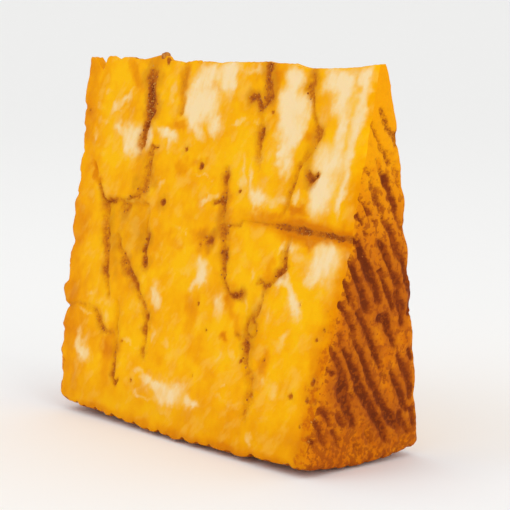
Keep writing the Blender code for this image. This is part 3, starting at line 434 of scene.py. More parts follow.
def along_profile(value, profile):
    """Straight-line reading of a profile given as pairs."""
    table = np.array(profile)
    return np.interp(value, table[:, 0], table[:, 1])


def stroke_marks(first, second, strokes, dark_reach=DARK_REACH):
    """How near each point is to a set of strokes, read in three ways.

    A point's ratio is its distance from a straight piece over the half width there. The core, for depth,
    is (1 - (ratio / CORE_REACH)^2)^2 times 0.35 + 0.65 of the stroke's strength. The dark and the halo
    are the strength, fading between the two ratios of their reach. Each is the largest over all pieces."""
    core = np.zeros(len(first))
    dark = np.zeros(len(first))
    halo = np.zeros(len(first))
    for stroke in strokes:
        points = np.array(stroke, dtype=float)
        for start, end in zip(points[:-1], points[1:]):
            step = end[:2] - start[:2]
            t = ((first - start[0]) * step[0] + (second - start[1]) * step[1]) / (step @ step)
            t = np.clip(t, 0.0, 1.0)
            gap = np.hypot(first - start[0] - t * step[0], second - start[1] - t * step[1])
            ratio = gap / (start[2] + t * (end[2] - start[2]))
            strength = start[3] + t * (end[3] - start[3])
            hollow = np.clip(1.0 - (ratio / CORE_REACH) ** 2, 0.0, 1.0) ** 2
            core = np.maximum(core, hollow * (0.35 + 0.65 * strength))
            dark = np.maximum(dark, strength * (1.0 - smooth(ratio, *dark_reach)))
            halo = np.maximum(halo, strength * (1.0 - smooth(ratio, *HALO_REACH)))
    return core, dark, halo


def patch_marks(first, second, patches):
    """Strengths of soft turned ellipses laid over each other as 1 - product of (1 - strength). An
    ellipse fades over PATCH_REACH, in shares of its own size."""
    rest = np.ones(len(first))
    for x, r, half_length, half_width, turn, strength in patches:
        angle = math.radians(turn)
        along = (first - x) * math.cos(angle) + (second - r) * math.sin(angle)
        across = (second - r) * math.cos(angle) - (first - x) * math.sin(angle)
        distance = np.hypot(along / half_length, across / half_width)
        rest *= 1.0 - strength * (1.0 - smooth(distance, *PATCH_REACH))
    return 1.0 - rest


def fade(distance, reach):
    """1 at a face and 0 beyond reach from it, falling as (1 - distance / reach)^2."""
    return np.clip(1.0 - distance / reach, 0.0, 1.0) ** 2


# Shape of the wedge.

def half_thickness(radius, side):
    """Half thickness of the wheel at a distance from its axis: a parabola through three values."""
    left = np.array(HALF_THICKNESS_LEFT)
    right = np.array(HALF_THICKNESS_RIGHT)
    at_axis, halfway, at_rim = (np.where(side > 0, b, a) for a, b in zip(left, right))
    t = radius / WHEEL_RADIUS
    return at_axis * (1 - t) * (1 - 2 * t) + halfway * 4 * t * (1 - t) + at_rim * t * (2 * t - 1)


def wheel_place(x, radius, angle):
    """Points given in wheel coordinates."""
    return np.stack([x, radius * np.sin(angle), AXIS_HEIGHT - radius * np.cos(angle)], axis=1)


def cut_direction(side):
    """Outward direction of the shown cut face (-1) or the rear one (1)."""
    return np.array([0.0, side * math.cos(HALF_ANGLE), math.sin(HALF_ANGLE)])


def seeded_strokes():
    """Broken slanting strokes for the left flat face: parallel lines a pitch apart, each cut into lengths
    and gaps by seeded random numbers, from just past the front edge to just before the rear one."""
    chance = np.random.default_rng(WEAVE_SEED)
    sine, cosine, spread = math.sin(WEAVE_LEAN), math.cos(WEAVE_LEAN), math.tan(HALF_ANGLE)
    strokes = []
    for line in range(1, WEAVE_LINES):
        offset = line * WEAVE_PITCH
        first = max(WEAVE_REACH[0], offset / (sine + spread * cosine)) - WEAVE_PAST_FRONT
        last = min(WEAVE_REACH[1], offset / (sine - spread * cosine)) - WEAVE_BEFORE_REAR
        depth = first + chance.uniform(0.0, 2.0)
        while depth < last - WEAVE_SHORTEST:
            lower = min(depth + chance.uniform(*WEAVE_STROKE) * cosine, last)
            width = chance.uniform(0.8, 1.2)
            tone = chance.uniform(0.65, 1.0)
            middle = (depth + lower) / 2
            bend = chance.uniform(-0.3, 0.3)
            strokes.append((((depth * sine - offset) / cosine, depth, 0.7 * width, 0.8 * tone),
                            ((middle * sine - offset) / cosine + bend, middle, width, tone),
                            ((lower * sine - offset) / cosine, lower, 0.7 * width, 0.8 * tone)))
            depth = lower + chance.uniform(*WEAVE_GAP)
    return strokes


def braid_strokes():
    """Slanting strokes of the braids on the side rind, turned the other way in every second braid, and
    the lines between braids. Each point is x, place along the rim, half width and darkness."""
    edges = (-BRAID_END,) + BRAID_BORDERS + (BRAID_END,)
    reach = WHEEL_RADIUS * HALF_ANGLE + 1.5
    chance = np.random.default_rng(BRAID_SEED)
    strokes = []
    for number, (start, end) in enumerate(zip(edges[:-1], edges[1:])):
        inset = 0.16 * (end - start)
        slant = BRAID_SLANT if number % 2 else -BRAID_SLANT
        for place in np.arange(-18.0, 19.0, BRAID_PITCH):
            arc = place + chance.uniform(-0.5, 0.5)
            tone = chance.uniform(0.5, 0.9)
            strokes.append(((start + inset, arc - slant, 0.6, 0.8 * tone),
                            ((start + end) / 2, arc, 0.9, tone),
                            (end - inset, arc + slant, 0.6, 0.8 * tone)))
    for border in BRAID_BORDERS:
        strokes.append(((border, -reach, 1.0, 0.7), (border + 0.4, 0.0, 0.8, 0.5), (border, reach, 1.0, 0.7)))
    return strokes


def sunk_below(r, line, back, waver=0.0):
    """1 just below a line across the cut face, falling to 0 on the way back up."""
    return smooth(r + waver, *line) * (1.0 - smooth(r, *back))


def front_forms(x, r, drift_x, drift_r):
    """What the shown cut face has besides cracks: how far its steps and slit sink, how dark the slit is,
    and its pale places, stains and painted shade."""
    (left, left_lean), (right, right_lean) = SLIP_BORDERS
    below = r - SLIP_R
    slip = sunk_below(r, *SLIP, 0.5 * drift_r) * smooth(x, *(place + left_lean * below for place in left))
    slip *= 1.0 - smooth(x, *(place + right_lean * below for place in right))
    lower_left = sunk_below(r, *LOWER_LEFT_STEP, 0.3 * drift_r) * (1.0 - smooth(x, *LOWER_LEFT_BORDER))
    below_slit = sunk_below(r, *BELOW_SLIT_STEP) * smooth(x, *BELOW_SLIT_BORDER)
    slit_core, slit_dark, slit_halo = stroke_marks(x, r + 0.35 * drift_r, FRONT_SLIT)
    sunk = SLIP_DEPTH * slip + LOWER_LEFT_DEPTH * lower_left + BELOW_SLIT_DEPTH * below_slit
    sunk += SLIT_DEPTH * slit_core
    strayed = (x + 1.9 * drift_x, r + 1.9 * drift_r)
    pale = patch_marks(*strayed, FRONT_PALE) * (1.0 - 0.8 * slit_halo)
    stain = np.maximum(patch_marks(*strayed, FRONT_STAINS), 1.2 * slit_halo)
    # Painted shade: olive in the hollow below the slip and beside cracks.
    shade = np.maximum(patch_marks(x + drift_x, r + drift_r, FRONT_PAINTED_SHADE), 0.35 * slip)
    return sunk, slit_dark, pale, stain, shade


def rear_forms(x, r, drift_x, drift_r, halo):
    """Pale places, stains and painted shade of the rear cut face, which is out of view: noise drawn out
    downward, with less pale paste beside the rind and painted shade beside some cracks."""
    cloud = flat_noise(x + 0.2 * r + 2.5 * drift_x, 0.4 * r + 1.2 * drift_r, 7.0, 61, 4)
    pale = smooth(cloud, 0.0, 1.15) * (1.0 - smooth(np.abs(x), 40.0, 52.0))
    stain = smooth(flat_noise(x + 2.0 * drift_x, 0.5 * r, 10.0, 67, 3), 0.1, 1.0) * 0.6
    # Painted shade beside some cracks.
    shade = 0.5 * smooth(halo, 0.1, 0.6) * smooth(flat_noise(x, r, 6.0, 69, 2), -0.2, 0.8)
    return pale, stain, shade


def cut_face_relief(x, r, side):
    """Lift of the shown cut face (-1) or the rear one (1) in millimetres, and the marks on it.

    Noise first moves the places a little, so that no mark has an even border. The lift is a gentle swell
    and a fine grain, with a rougher grain beside cracks. Cracks and holes sink by the core of their
    strokes, cracks less near the thin tip. Pale paste stands a little higher."""
    drift_x = 0.55 * flat_noise(x, r, 2.6, 31 + side) + 0.25 * flat_noise(x, r, 0.9, 35 + side)
    drift_r = 0.55 * flat_noise(x, r, 2.6, 41 + side) + 0.25 * flat_noise(x, r, 0.9, 45 + side)
    cracks, specks = (FRONT_CRACKS, FRONT_SPECKS) if side < 0 else (REAR_CRACKS, REAR_SPECKS)
    holes = [(speck, (speck[0] + SPECK_LENGTH, *speck[1:])) for speck in specks]
    core, dark, halo = stroke_marks(x + drift_x, r + drift_r, cracks, CUT_DARK_REACH)
    hole, spot, ring = stroke_marks(x + 0.6 * drift_x, r + 0.6 * drift_r, holes)
    patchy = 0.82 + 0.26 * flat_noise(x, r, 2.4, 57 + side)
    depth = np.minimum(CRACK_DEPTH * core * patchy, 0.13 * r)
    lift = 0.35 * flat_noise(x, r, 26.0, 51 + side, 2) + 0.10 * flat_noise(x, r, 5.0, 55 + side, 3)
    lift += 0.18 * flat_noise(x, r, 1.0, 59 + side, 2) * halo - depth - HOLE_DEPTH * hole
    # Beside cracks and holes the paste is darker: partly real oil stain, partly painted shade.
    crack_stain_and_shade = np.maximum(0.85 * halo * patchy, 0.5 * ring)
    if side < 0:
        sunk, slit_dark, pale, stain, shade = front_forms(x, r, drift_x, drift_r)
        lift -= sunk
        dark = np.maximum(dark, slit_dark)
    else:
        pale, stain, shade = rear_forms(x, r, drift_x, drift_r, halo)
    lift += PALE_RISE * pale
    return {"lift": lift, "crack": dark * patchy, "spot": spot, "pale": pale, "stain": stain,
            "shade": shade, "crack_stain_and_shade": crack_stain_and_shade}


def soaked_margin(x, r, side):
    """How much red oil the paste of a cut face has taken up: most beside the flat faces and the side rind,
    and beside the right flat face more and further in towards the rind. The borders waver by noise."""
    waver = 1.6 * flat_noise(x, r, 7.0, 71 + side)
    from_left = x + half_thickness(r, -np.ones_like(x)) + waver
    from_right = half_thickness(r, np.ones_like(x)) - x + waver
    from_rim = WHEEL_RADIUS + BARREL_BULGE - r + 0.6 * waver
    lower = smooth(r, 22.0, 66.0)
    left = 0.45 * (1.0 - smooth(from_left, 1.0, 13.0))
    right = (0.15 + 0.6 * lower) * (1.0 - smooth(from_right, 0.0, 4.0 + 5.0 * lower))
    bottom = 0.6 * (1.0 - smooth(from_rim, 0.6, 3.6))
    return np.maximum(np.maximum(left, right), bottom)


def flat_face_relief(along, depth, side):
    """Lift of the left flat face (-1) or the right one (1) in millimetres, and the marks on it: grooves
    that sink by the core of their strokes, and low lumps of rind between them."""
    drift_a = 0.35 * flat_noise(along, depth, 1.8, 81 + side) + 0.18 * flat_noise(along, depth, 0.7, 83)
    drift_d = 0.45 * flat_noise(along, depth, 1.8, 91 + side) + 0.18 * flat_noise(along, depth, 0.7, 93)
    strokes = RIGHT_GROOVES if side > 0 else seeded_strokes()
    core, dark, halo = stroke_marks(along + drift_a, depth + drift_d, strokes, FLAT_DARK_REACH)
    lift = 0.18 * flat_noise(along, depth, 7.0, 101 + side, 2) + 0.16 * flat_noise(along, depth, 1.9, 103, 3)
    lift -= GROOVE_DEPTH * core
    return {"lift": lift, "groove": dark, "halo": halo}


def rim_relief(x, arc):
    """Lift of the side rind in millimetres, and the marks on it: the strokes of the braids, pressed
    nearly flat in the middle, where the wedge rests on them."""
    drift = 0.4 * flat_noise(x, arc, 2.0, 111)
    core, dark, halo = stroke_marks(x + drift, arc + 0.8 * drift, braid_strokes())
    pressed = (1.0 - smooth(np.abs(x), 22.0, 30.0)) * (1.0 - smooth(np.abs(arc), 8.0, 11.5))
    lift = 0.12 * flat_noise(x, arc, 2.2, 113) - BRAID_DEPTH * core * (1.0 - 0.8 * pressed)
    return {"lift": lift, "groove": dark * (1.0 - 0.5 * pressed), "halo": halo}


def side_faces(rows, columns, around, place):
    """Faces of one side of the box, a cell each. Around a cell go its corners and, where it is two steps
    wide, the middles of its edges. A middle is kept only along the border of the side. The result is the
    places of all faces' corners in a row, as place gives them, and how many corners each face has."""
    across, down = np.array(around).T
    step = across.max()
    i, j = np.mgrid[0:rows:step, 0:columns:step].reshape(2, -1, 1)
    a, b = i + across, j + down
    kept = (across % step == 0) & (down % step == 0)
    kept = kept | (a == 0) | (a == rows) | (b == 0) | (b == columns)
    return tuple(np.broadcast_to(values, a.shape)[kept] for values in place(a, b)), kept.sum(axis=1)


def surface_corners():
    """Whole-number corners of the box surface that is bent into the wedge, the corners of all its faces in
    a row, how many each face has, and how many faces are cut paste.

    The shown face, the flat faces and the tip have a corner at every step. The rear cut face and the
    side rind have one at every second step, except along their borders, where they meet the others."""
    nu, nv, nw = CELLS_ACROSS, CELLS_THROUGH, CELLS_DOWN
    shape = (nu + 1, nv + 1, nw + 1)
    paste = [side_faces(nu, nw, AROUND_CELL, lambda a, b: (a, 0, nw - b)),
             side_faces(nu, nv, AROUND_CELL, lambda a, b: (a, b, 0)),
             side_faces(nu, nw, AROUND_WIDE_CELL, lambda a, b: (a, nv, b))]
    rind = [side_faces(nv, nw, AROUND_CELL, lambda a, b: (0, a, b)),
            side_faces(nv, nw, AROUND_CELL, lambda a, b: (nu, a, nw - b)),
            side_faces(nu, nv, AROUND_WIDE_CELL, lambda a, b: (a, nv - b, nw))]
    keys = np.concatenate([np.ravel_multi_index(places, shape) for places, sizes in paste + rind])
    sizes = np.concatenate([sizes for places, sizes in paste + rind])
    used, corners = np.unique(keys, return_inverse=True)
    grid = np.stack(np.unravel_index(used, shape), axis=1)
    return grid, (corners, sizes), sum(len(sizes) for places, sizes in paste)


def round_shoulders(across, outward, half, length):
    """Turn the square corners between flat faces and side rind into quarter circles: within a
    rounding's width of a corner, (a, b) goes to (a sqrt(1 - b^2 / 2), b sqrt(1 - a^2 / 2))."""
    size = np.where(across > 0, *SHOULDER_ROUNDING)
    a = 1.0 - (half - np.abs(across)) / size
    b = 1.0 - (length - outward) / size
    near = (a > 0.0) & (b > 0.0)
    a, b = np.clip(a, 0.0, 1.0), np.clip(b, 0.0, 1.0)
    turned_a = a * np.sqrt(1.0 - b * b / 2.0)
    turned_b = b * np.sqrt(1.0 - a * a / 2.0)
    new_across = np.where(near, np.sign(across) * (half - size + size * turned_a), across)
    new_outward = np.where(near, length - size + size * turned_b, outward)
    return new_across, new_outward


def face_lifts(u, x, radius, along, distance, relief):
    """How far each face stands out at every point: its relief, less on the cut faces where the wedge is
    thin, the ragged outline beside it, and the wear of its creases."""
    thin = np.clip(radius * WEDGE_ANGLE / 8.0, 0.3, 1.0)
    ragged_left = 0.22 * flat_noise(radius, 0.1 * along, 1.7, 121, 2) * fade(distance["front"], 3.0)
    ragged_tip = 0.10 * flat_noise(x, 0.2 * along, 1.3, 131, 2) - 0.1
    lift = {
        "front": relief["front"]["lift"] * thin,
        "rear": (relief["rear"]["lift"] * thin
                 + along_profile(radius, RIGHT_REAR_EDGE) * fade(distance["right"], 7.0)),
        "left": (relief["left"]["lift"] + ragged_left
                 + along_profile(radius, LEFT_EDGE) * fade(distance["front"], 12.0)),
        "right": relief["right"]["lift"],
        "rim": (relief["rim"]["lift"] + RIGHT_RIM_FULLNESS * smooth(u, 0.75, 1.0)
                + along_profile(x, FRONT_RIM_EDGE) * fade(distance["front"], 5.0)),
        "tip": TIP_RADIUS - along_profile(x, TIP_EDGE) + ragged_tip,
    }
    for face, creases in CREASE_WEAR.items():
        for beside, (depth, reach) in creases.items():
            lift[face] = lift[face] - depth * fade(distance[beside], reach)
    return lift


def point_marks(u, v, x, radius, points, distance, relief):
    """The marks at every point, with borders that waver by noise. Those of the cut faces and of the rind
    come from the relief. Besides, soaked is the oil in the paste, chilli how likely a grain lies there,
    dust the ground chilli rubbed over from the rind, rind_edge how thin the rind is rubbed beside the
    cuts and towards the tip, and low how near the rim is."""
    marks = {name: np.where(v < 0, values, relief["rear"][name])
             for name, values in relief["front"].items() if name != "lift"}
    marks["soaked"] = np.where(v < 0, soaked_margin(x, radius, -1), soaked_margin(x, radius, 1))
    on_cut = np.minimum(distance["front"], distance["rear"]) < ON_FACE
    on_flat = (np.minimum(distance["left"], distance["right"]) < ON_FACE) & (distance["rim"] > 2.5)
    for name in ("groove", "halo"):
        on_side = np.where(u > 0, relief["right"][name], relief["left"][name])
        marks[name] = np.where(on_flat, on_side, relief["rim"][name])
    cut_chilli = on_cut * np.maximum(marks["crack"], marks["spot"])
    rind_chilli = 0.2 * marks["groove"] * (on_flat & ~on_cut)
    marks["chilli"] = np.maximum(cut_chilli, rind_chilli) * (points[:, 2] > 1.5)
    from_rind = np.minimum(distance["right"], distance["left"] + 3.0) + 1.5 * layered_noise(points, 4.0, 147)
    marks["dust"] = (1.0 - smooth(from_rind, 1.0, 7.0)) * smooth(radius, 46.0, 70.0)
    width = np.where(u > 0, 3.6, 2.4) * (1.0 + 0.3 * layered_noise(points, 4.0, 141))
    near_front = (0.85 - 0.2 * smooth(radius, 40.0, 66.0)) * (1.0 - smooth(distance["front"], 0.0, width))
    near_rear = 0.6 * (1.0 - smooth(distance["rear"], 0.3, 1.5))
    near_tip = 1.15 * (1.0 - smooth(radius + 2.0 * layered_noise(points, 5.0, 143), 12.0, 70.0))
    marks["rind_edge"] = np.maximum(np.maximum(near_front, near_rear), near_tip)
    marks["low"] = smooth(radius + 1.5 * layered_noise(points, 6.0, 145), 84.0, 92.0)
    return marks


def wedge_surface():
    """Points of the whole surface with its relief, the faces, how many of them are cut paste, the marks
    at every point, and the move that was made at the end.

    A box of steps (u, v, w) becomes the wedge: u gives x across the thickness, v the angle through the
    wedge and w the distance from the tip. Each face's lift moves its own points outward, and the points
    of the faces beside it by a share that falls to nothing within a few millimetres, so that creases
    stay closed and cells near them keep their order."""
    grid, faces, paste_count = surface_corners()
    u = 2.0 * grid[:, 0] / CELLS_ACROSS - 1.0
    v = 2.0 * grid[:, 1] / CELLS_THROUGH - 1.0
    w = grid[:, 2] / CELLS_DOWN
    rim = WHEEL_RADIUS + BARREL_BULGE * (1.0 - u * u)
    radius = TIP_RADIUS + w * (rim - TIP_RADIUS)
    half = half_thickness(radius, u)
    x, radius = round_shoulders(u * half, radius, half, rim)
    angle = v * HALF_ANGLE
    points = wheel_place(x, radius, angle)
    along, depth = points[:, 1], AXIS_HEIGHT - points[:, 2]

    distance = {"front": (v + 1.0) * HALF_ANGLE * radius, "rear": (1.0 - v) * HALF_ANGLE * radius,
                "left": (1.0 + u) * half, "right": (1.0 - u) * half,
                "tip": w * (rim - TIP_RADIUS), "rim": (1.0 - w) * (rim - TIP_RADIUS)}
    relief = {"front": cut_face_relief(x, radius, -1), "rear": cut_face_relief(x, radius, 1),
              "left": flat_face_relief(along, depth, -1), "right": flat_face_relief(along, depth, 1),
              "rim": rim_relief(x, angle * radius)}

    away = np.stack([np.zeros_like(angle), np.sin(angle), -np.cos(angle)], axis=1)
    outward = {"front": cut_direction(-1), "rear": cut_direction(1),
               "left": np.outer(u < 0, (-1.0, 0.0, 0.0)), "right": np.outer(u > 0, (1.0, 0.0, 0.0)),
               "rim": away, "tip": -away}
    for face, lift in face_lifts(u, x, radius, along, distance, relief).items():
        points = points + (lift * fade(distance[face], CARRY[face]))[:, None] * outward[face]
    points[:, 2] = np.maximum(points[:, 2], 0.0)
    shift = placing(points)
    points = points + shift
    return points, faces, paste_count, point_marks(u, v, x, radius, points, distance, relief), shift


def ball_form(rings, sides):
    """Points of a unit ball and its triangles: a lower pole, rings of points going up by equal angles
    and an upper pole."""
    tilt = math.pi * np.arange(1, rings + 1) / (rings + 1)
    turn = 2.0 * math.pi * np.arange(sides) / sides
    turn = turn[None, :] + (math.pi / sides) * (np.arange(rings) % 2)[:, None]
    out = np.sin(tilt)[:, None]
    rows = np.broadcast_arrays(out * np.cos(turn), out * np.sin(turn), -np.cos(tilt)[:, None])
    points = np.stack(rows, axis=2)
    points = np.concatenate([[[0.0, 0.0, -1.0]], points.reshape(-1, 3), [[0.0, 0.0, 1.0]]])
    step = np.arange(sides)
    after = (step + 1) % sides
    last = len(points) - 1
    top = last - sides
    faces = [np.stack([np.zeros(sides, int), 1 + after, 1 + step], axis=1),
             np.stack([top + step, top + after, np.full(sides, last)], axis=1)]
    for ring in range(rings - 1):
        low, high = 1 + ring * sides, 1 + (ring + 1) * sides
        ahead = after if ring % 2 else step
        behind = step if ring % 2 else (step - 1) % sides
        faces.append(np.stack([low + step, high + ahead, high + behind], axis=1))
        faces.append(np.stack([low + step, low + after, high + ahead], axis=1))
    return points, np.concatenate(faces)


def ground_chilli(points, faces, weight):
    """Grains of ground chilli lying half sunk where the marks are dark.

    Four-cornered faces are drawn by seeded chance, in proportion to the fourth power of their weight. A
    grain sits at a chance place on its face. It is a ball of two rings of five points, each point moved
    in or out by chance, and turned by a chance rotation."""
    chance = np.random.default_rng(GRAIN_SEED)
    corners, sizes = faces
    first = np.cumsum(sizes) - sizes
    quads = corners[first[sizes == 4][:, None] + np.arange(4)]
    share = weight[quads].mean(axis=1) ** 4
    drawn = points[quads[chance.choice(len(quads), GRAIN_COUNT, p=share / share.sum())]]
    s, t = chance.random((2, GRAIN_COUNT, 1))
    place = ((1 - s) * (1 - t) * drawn[:, 0] + s * (1 - t) * drawn[:, 1] + s * t * drawn[:, 2]
             + (1 - s) * t * drawn[:, 3])
    outward = np.cross(drawn[:, 2] - drawn[:, 0], drawn[:, 3] - drawn[:, 1])
    outward /= np.linalg.norm(outward, axis=1, keepdims=True)
    size = chance.uniform(*GRAIN_SIZE, (GRAIN_COUNT, 1)) ** 2 / GRAIN_SIZE[1]
    form, triangles = ball_form(2, 5)
    turned = np.linalg.qr(chance.normal(size=(GRAIN_COUNT, 3, 3)))[0]
    turned *= np.linalg.det(turned)[:, None, None]
    rough = form[None] * chance.uniform(0.65, 1.25, (GRAIN_COUNT, len(form), 1)) * (1.0, 0.8, 0.6)
    grains = np.einsum('nij,nkj->nki', turned, rough * size[:, :, None])
    grains += (place - 0.2 * size * outward)[:, None, :]
    base = len(form) * np.arange(GRAIN_COUNT)
    tint = np.repeat(chance.random(GRAIN_COUNT), len(form))
    return grains.reshape(-1, 3), (triangles[None] + base[:, None, None]).reshape(-1, 3), tint


def tip_crumb(shift):
    """The crumb that stands on the tip edge: a ball whose radius swells and shrinks with noise, its top
    a little above the part's own."""
    form, triangles = ball_form(13, 20)
    form = form * (1.0 + 0.16 * layered_noise(form, 0.8, 151, 2))[:, None]
    form /= form[:, 2].max()
    middle = np.array([CRUMB_X + shift[0], shift[1], HIGH[2] + CRUMB_RISE - CRUMB_RADIUS])
    return middle + CRUMB_RADIUS * form, triangles, 0.55 + 0.4 * lattice_noise(form, 0.5, 153)


def placing(points):
    """Move that brings the middle of the outline over the middle of the part's own outline."""
    middle = (points.min(axis=0) + points.max(axis=0)) / 2
    target = (LOW + HIGH) / 2
    return np.array([target[0] - middle[0], target[1] - middle[1], 0.0])


# Meshes.

def add_piece(name, points, faces, materials, marks, first_count=None, rounded=True):
    """A piece at the origin from points in millimetres, riding on the body in place of the CAD solid. Its
    faces are triangles, or corners in a row and how many each face has. Faces from first_count on take
    the second material."""
    corners, sizes = faces if isinstance(faces, tuple) else (faces.ravel(), np.full(len(faces), 3))
    mesh = bpy.data.meshes.new(name)
    mesh.vertices.add(len(points))
    mesh.loops.add(len(corners))
    mesh.polygons.add(len(sizes))
    mesh.vertices.foreach_set("co", (points * MM).astype(np.float32).ravel())
    mesh.loops.foreach_set("vertex_index", corners.astype(np.int32))
    mesh.polygons.foreach_set("loop_start", (np.cumsum(sizes) - sizes).astype(np.int32))
    mesh.update(calc_edges=True)
    for material in materials:
        mesh.materials.append(material)
    index = np.zeros(len(sizes), dtype=np.int32)
    if first_count is not None:
        index[first_count:] = 1
    mesh.polygons.foreach_set("material_index", index)
    for mark_name, values in marks.items():
        attribute = mesh.attributes.new(mark_name, 'FLOAT', 'POINT')
        attribute.data.foreach_set("value", values.astype(np.float32))
    mesh.polygons.foreach_set("use_smooth", np.full(len(sizes), rounded))
    mesh.update()
    piece = bpy.data.objects.new(name, mesh)
    bpy.context.scene.collection.objects.link(piece)
    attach(piece, "root")
    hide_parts(NODE)


# Materials. A MapRange's inputs are the value, its range and the range that it goes to, which is 0 to 1
# where none is given. A Mix's inputs 0, 6 and 7 are the share, the colour below and the coat on it.

PATTERN_ROUGHNESS = 0.55
SMOOTHLY = {"interpolation_type": 'SMOOTHSTEP'}


def linear(code):
    """Linear colour of an sRGB hex code."""
    channels = np.array([int(code[place:place + 2], 16) for place in (1, 3, 5)]) / 255.0
    value = np.where(channels <= 0.04045, channels / 12.92, ((channels + 0.055) / 1.055) ** 2.4)
    return tuple(value) + (1.0,)


def add_node(tree, kind, inputs=(), output=0, stops=(), **settings):
    """Add a node with its settings and links, and give one of its outputs if it has any. Inputs are values
    or outputs to link, in the order of the sockets or under their names. Stops are places and colours."""
    node = tree.nodes.new("ShaderNode" + kind)
    for name, value in settings.items():
        setattr(node, name, value)
    for socket, value in (inputs.items() if isinstance(inputs, dict) else enumerate(inputs)):
        if isinstance(value, bpy.types.NodeSocket):
            tree.links.new(value, node.inputs[socket])
        else:
            node.inputs[socket].default_value = value
    for number, (place, code) in enumerate(stops):
        elements = node.color_ramp.elements
        element = elements.new(1.0) if number >= len(elements) else elements[number]
        element.position = place
        element.color = linear(code)
    return node.outputs[output] if node.outputs else None


def new_material(name):
    """A material with an empty node tree, and the means to add nodes to it."""
    material = bpy.data.materials.new(name)
    material.use_nodes = True
    material.node_tree.nodes.clear()
    return material, functools.partial(add_node, material.node_tree)


def surface_patterns(add, *patterns):
    """Noise patterns from 0 to 1. Each is given as the size of its features in millimetres, its detail
    and, where they are drawn out, how far they lean from the vertical in the cut face and by how much."""
    place = add("TexCoord", output="Object")
    made = []
    for size, detail, *drawn in patterns:
        lean, stretch = drawn or (0.0, 1.0)
        turned = add("Mapping", {"Vector": place, "Rotation": (0.0, math.radians(lean), 0.0),
                                 "Scale": (1.0, 1.0, stretch)}, vector_type='TEXTURE')
        made.append(add("TexNoise", {"Vector": turned, "Scale": 1.0 / (size * MM), "Detail": detail,
                                     "Roughness": PATTERN_ROUGHNESS}))
    return made


def unsettled(add, value, *swings, lift=0.0):
    """A value with patterns added that swing about 0: value + lift + sum of height * (pattern - 0.5)."""
    for pattern, height in swings:
        value = add("Math", (pattern, height, value), operation='MULTIPLY_ADD')
        lift -= height / 2
    return add("Math", (value, lift), operation='ADD')


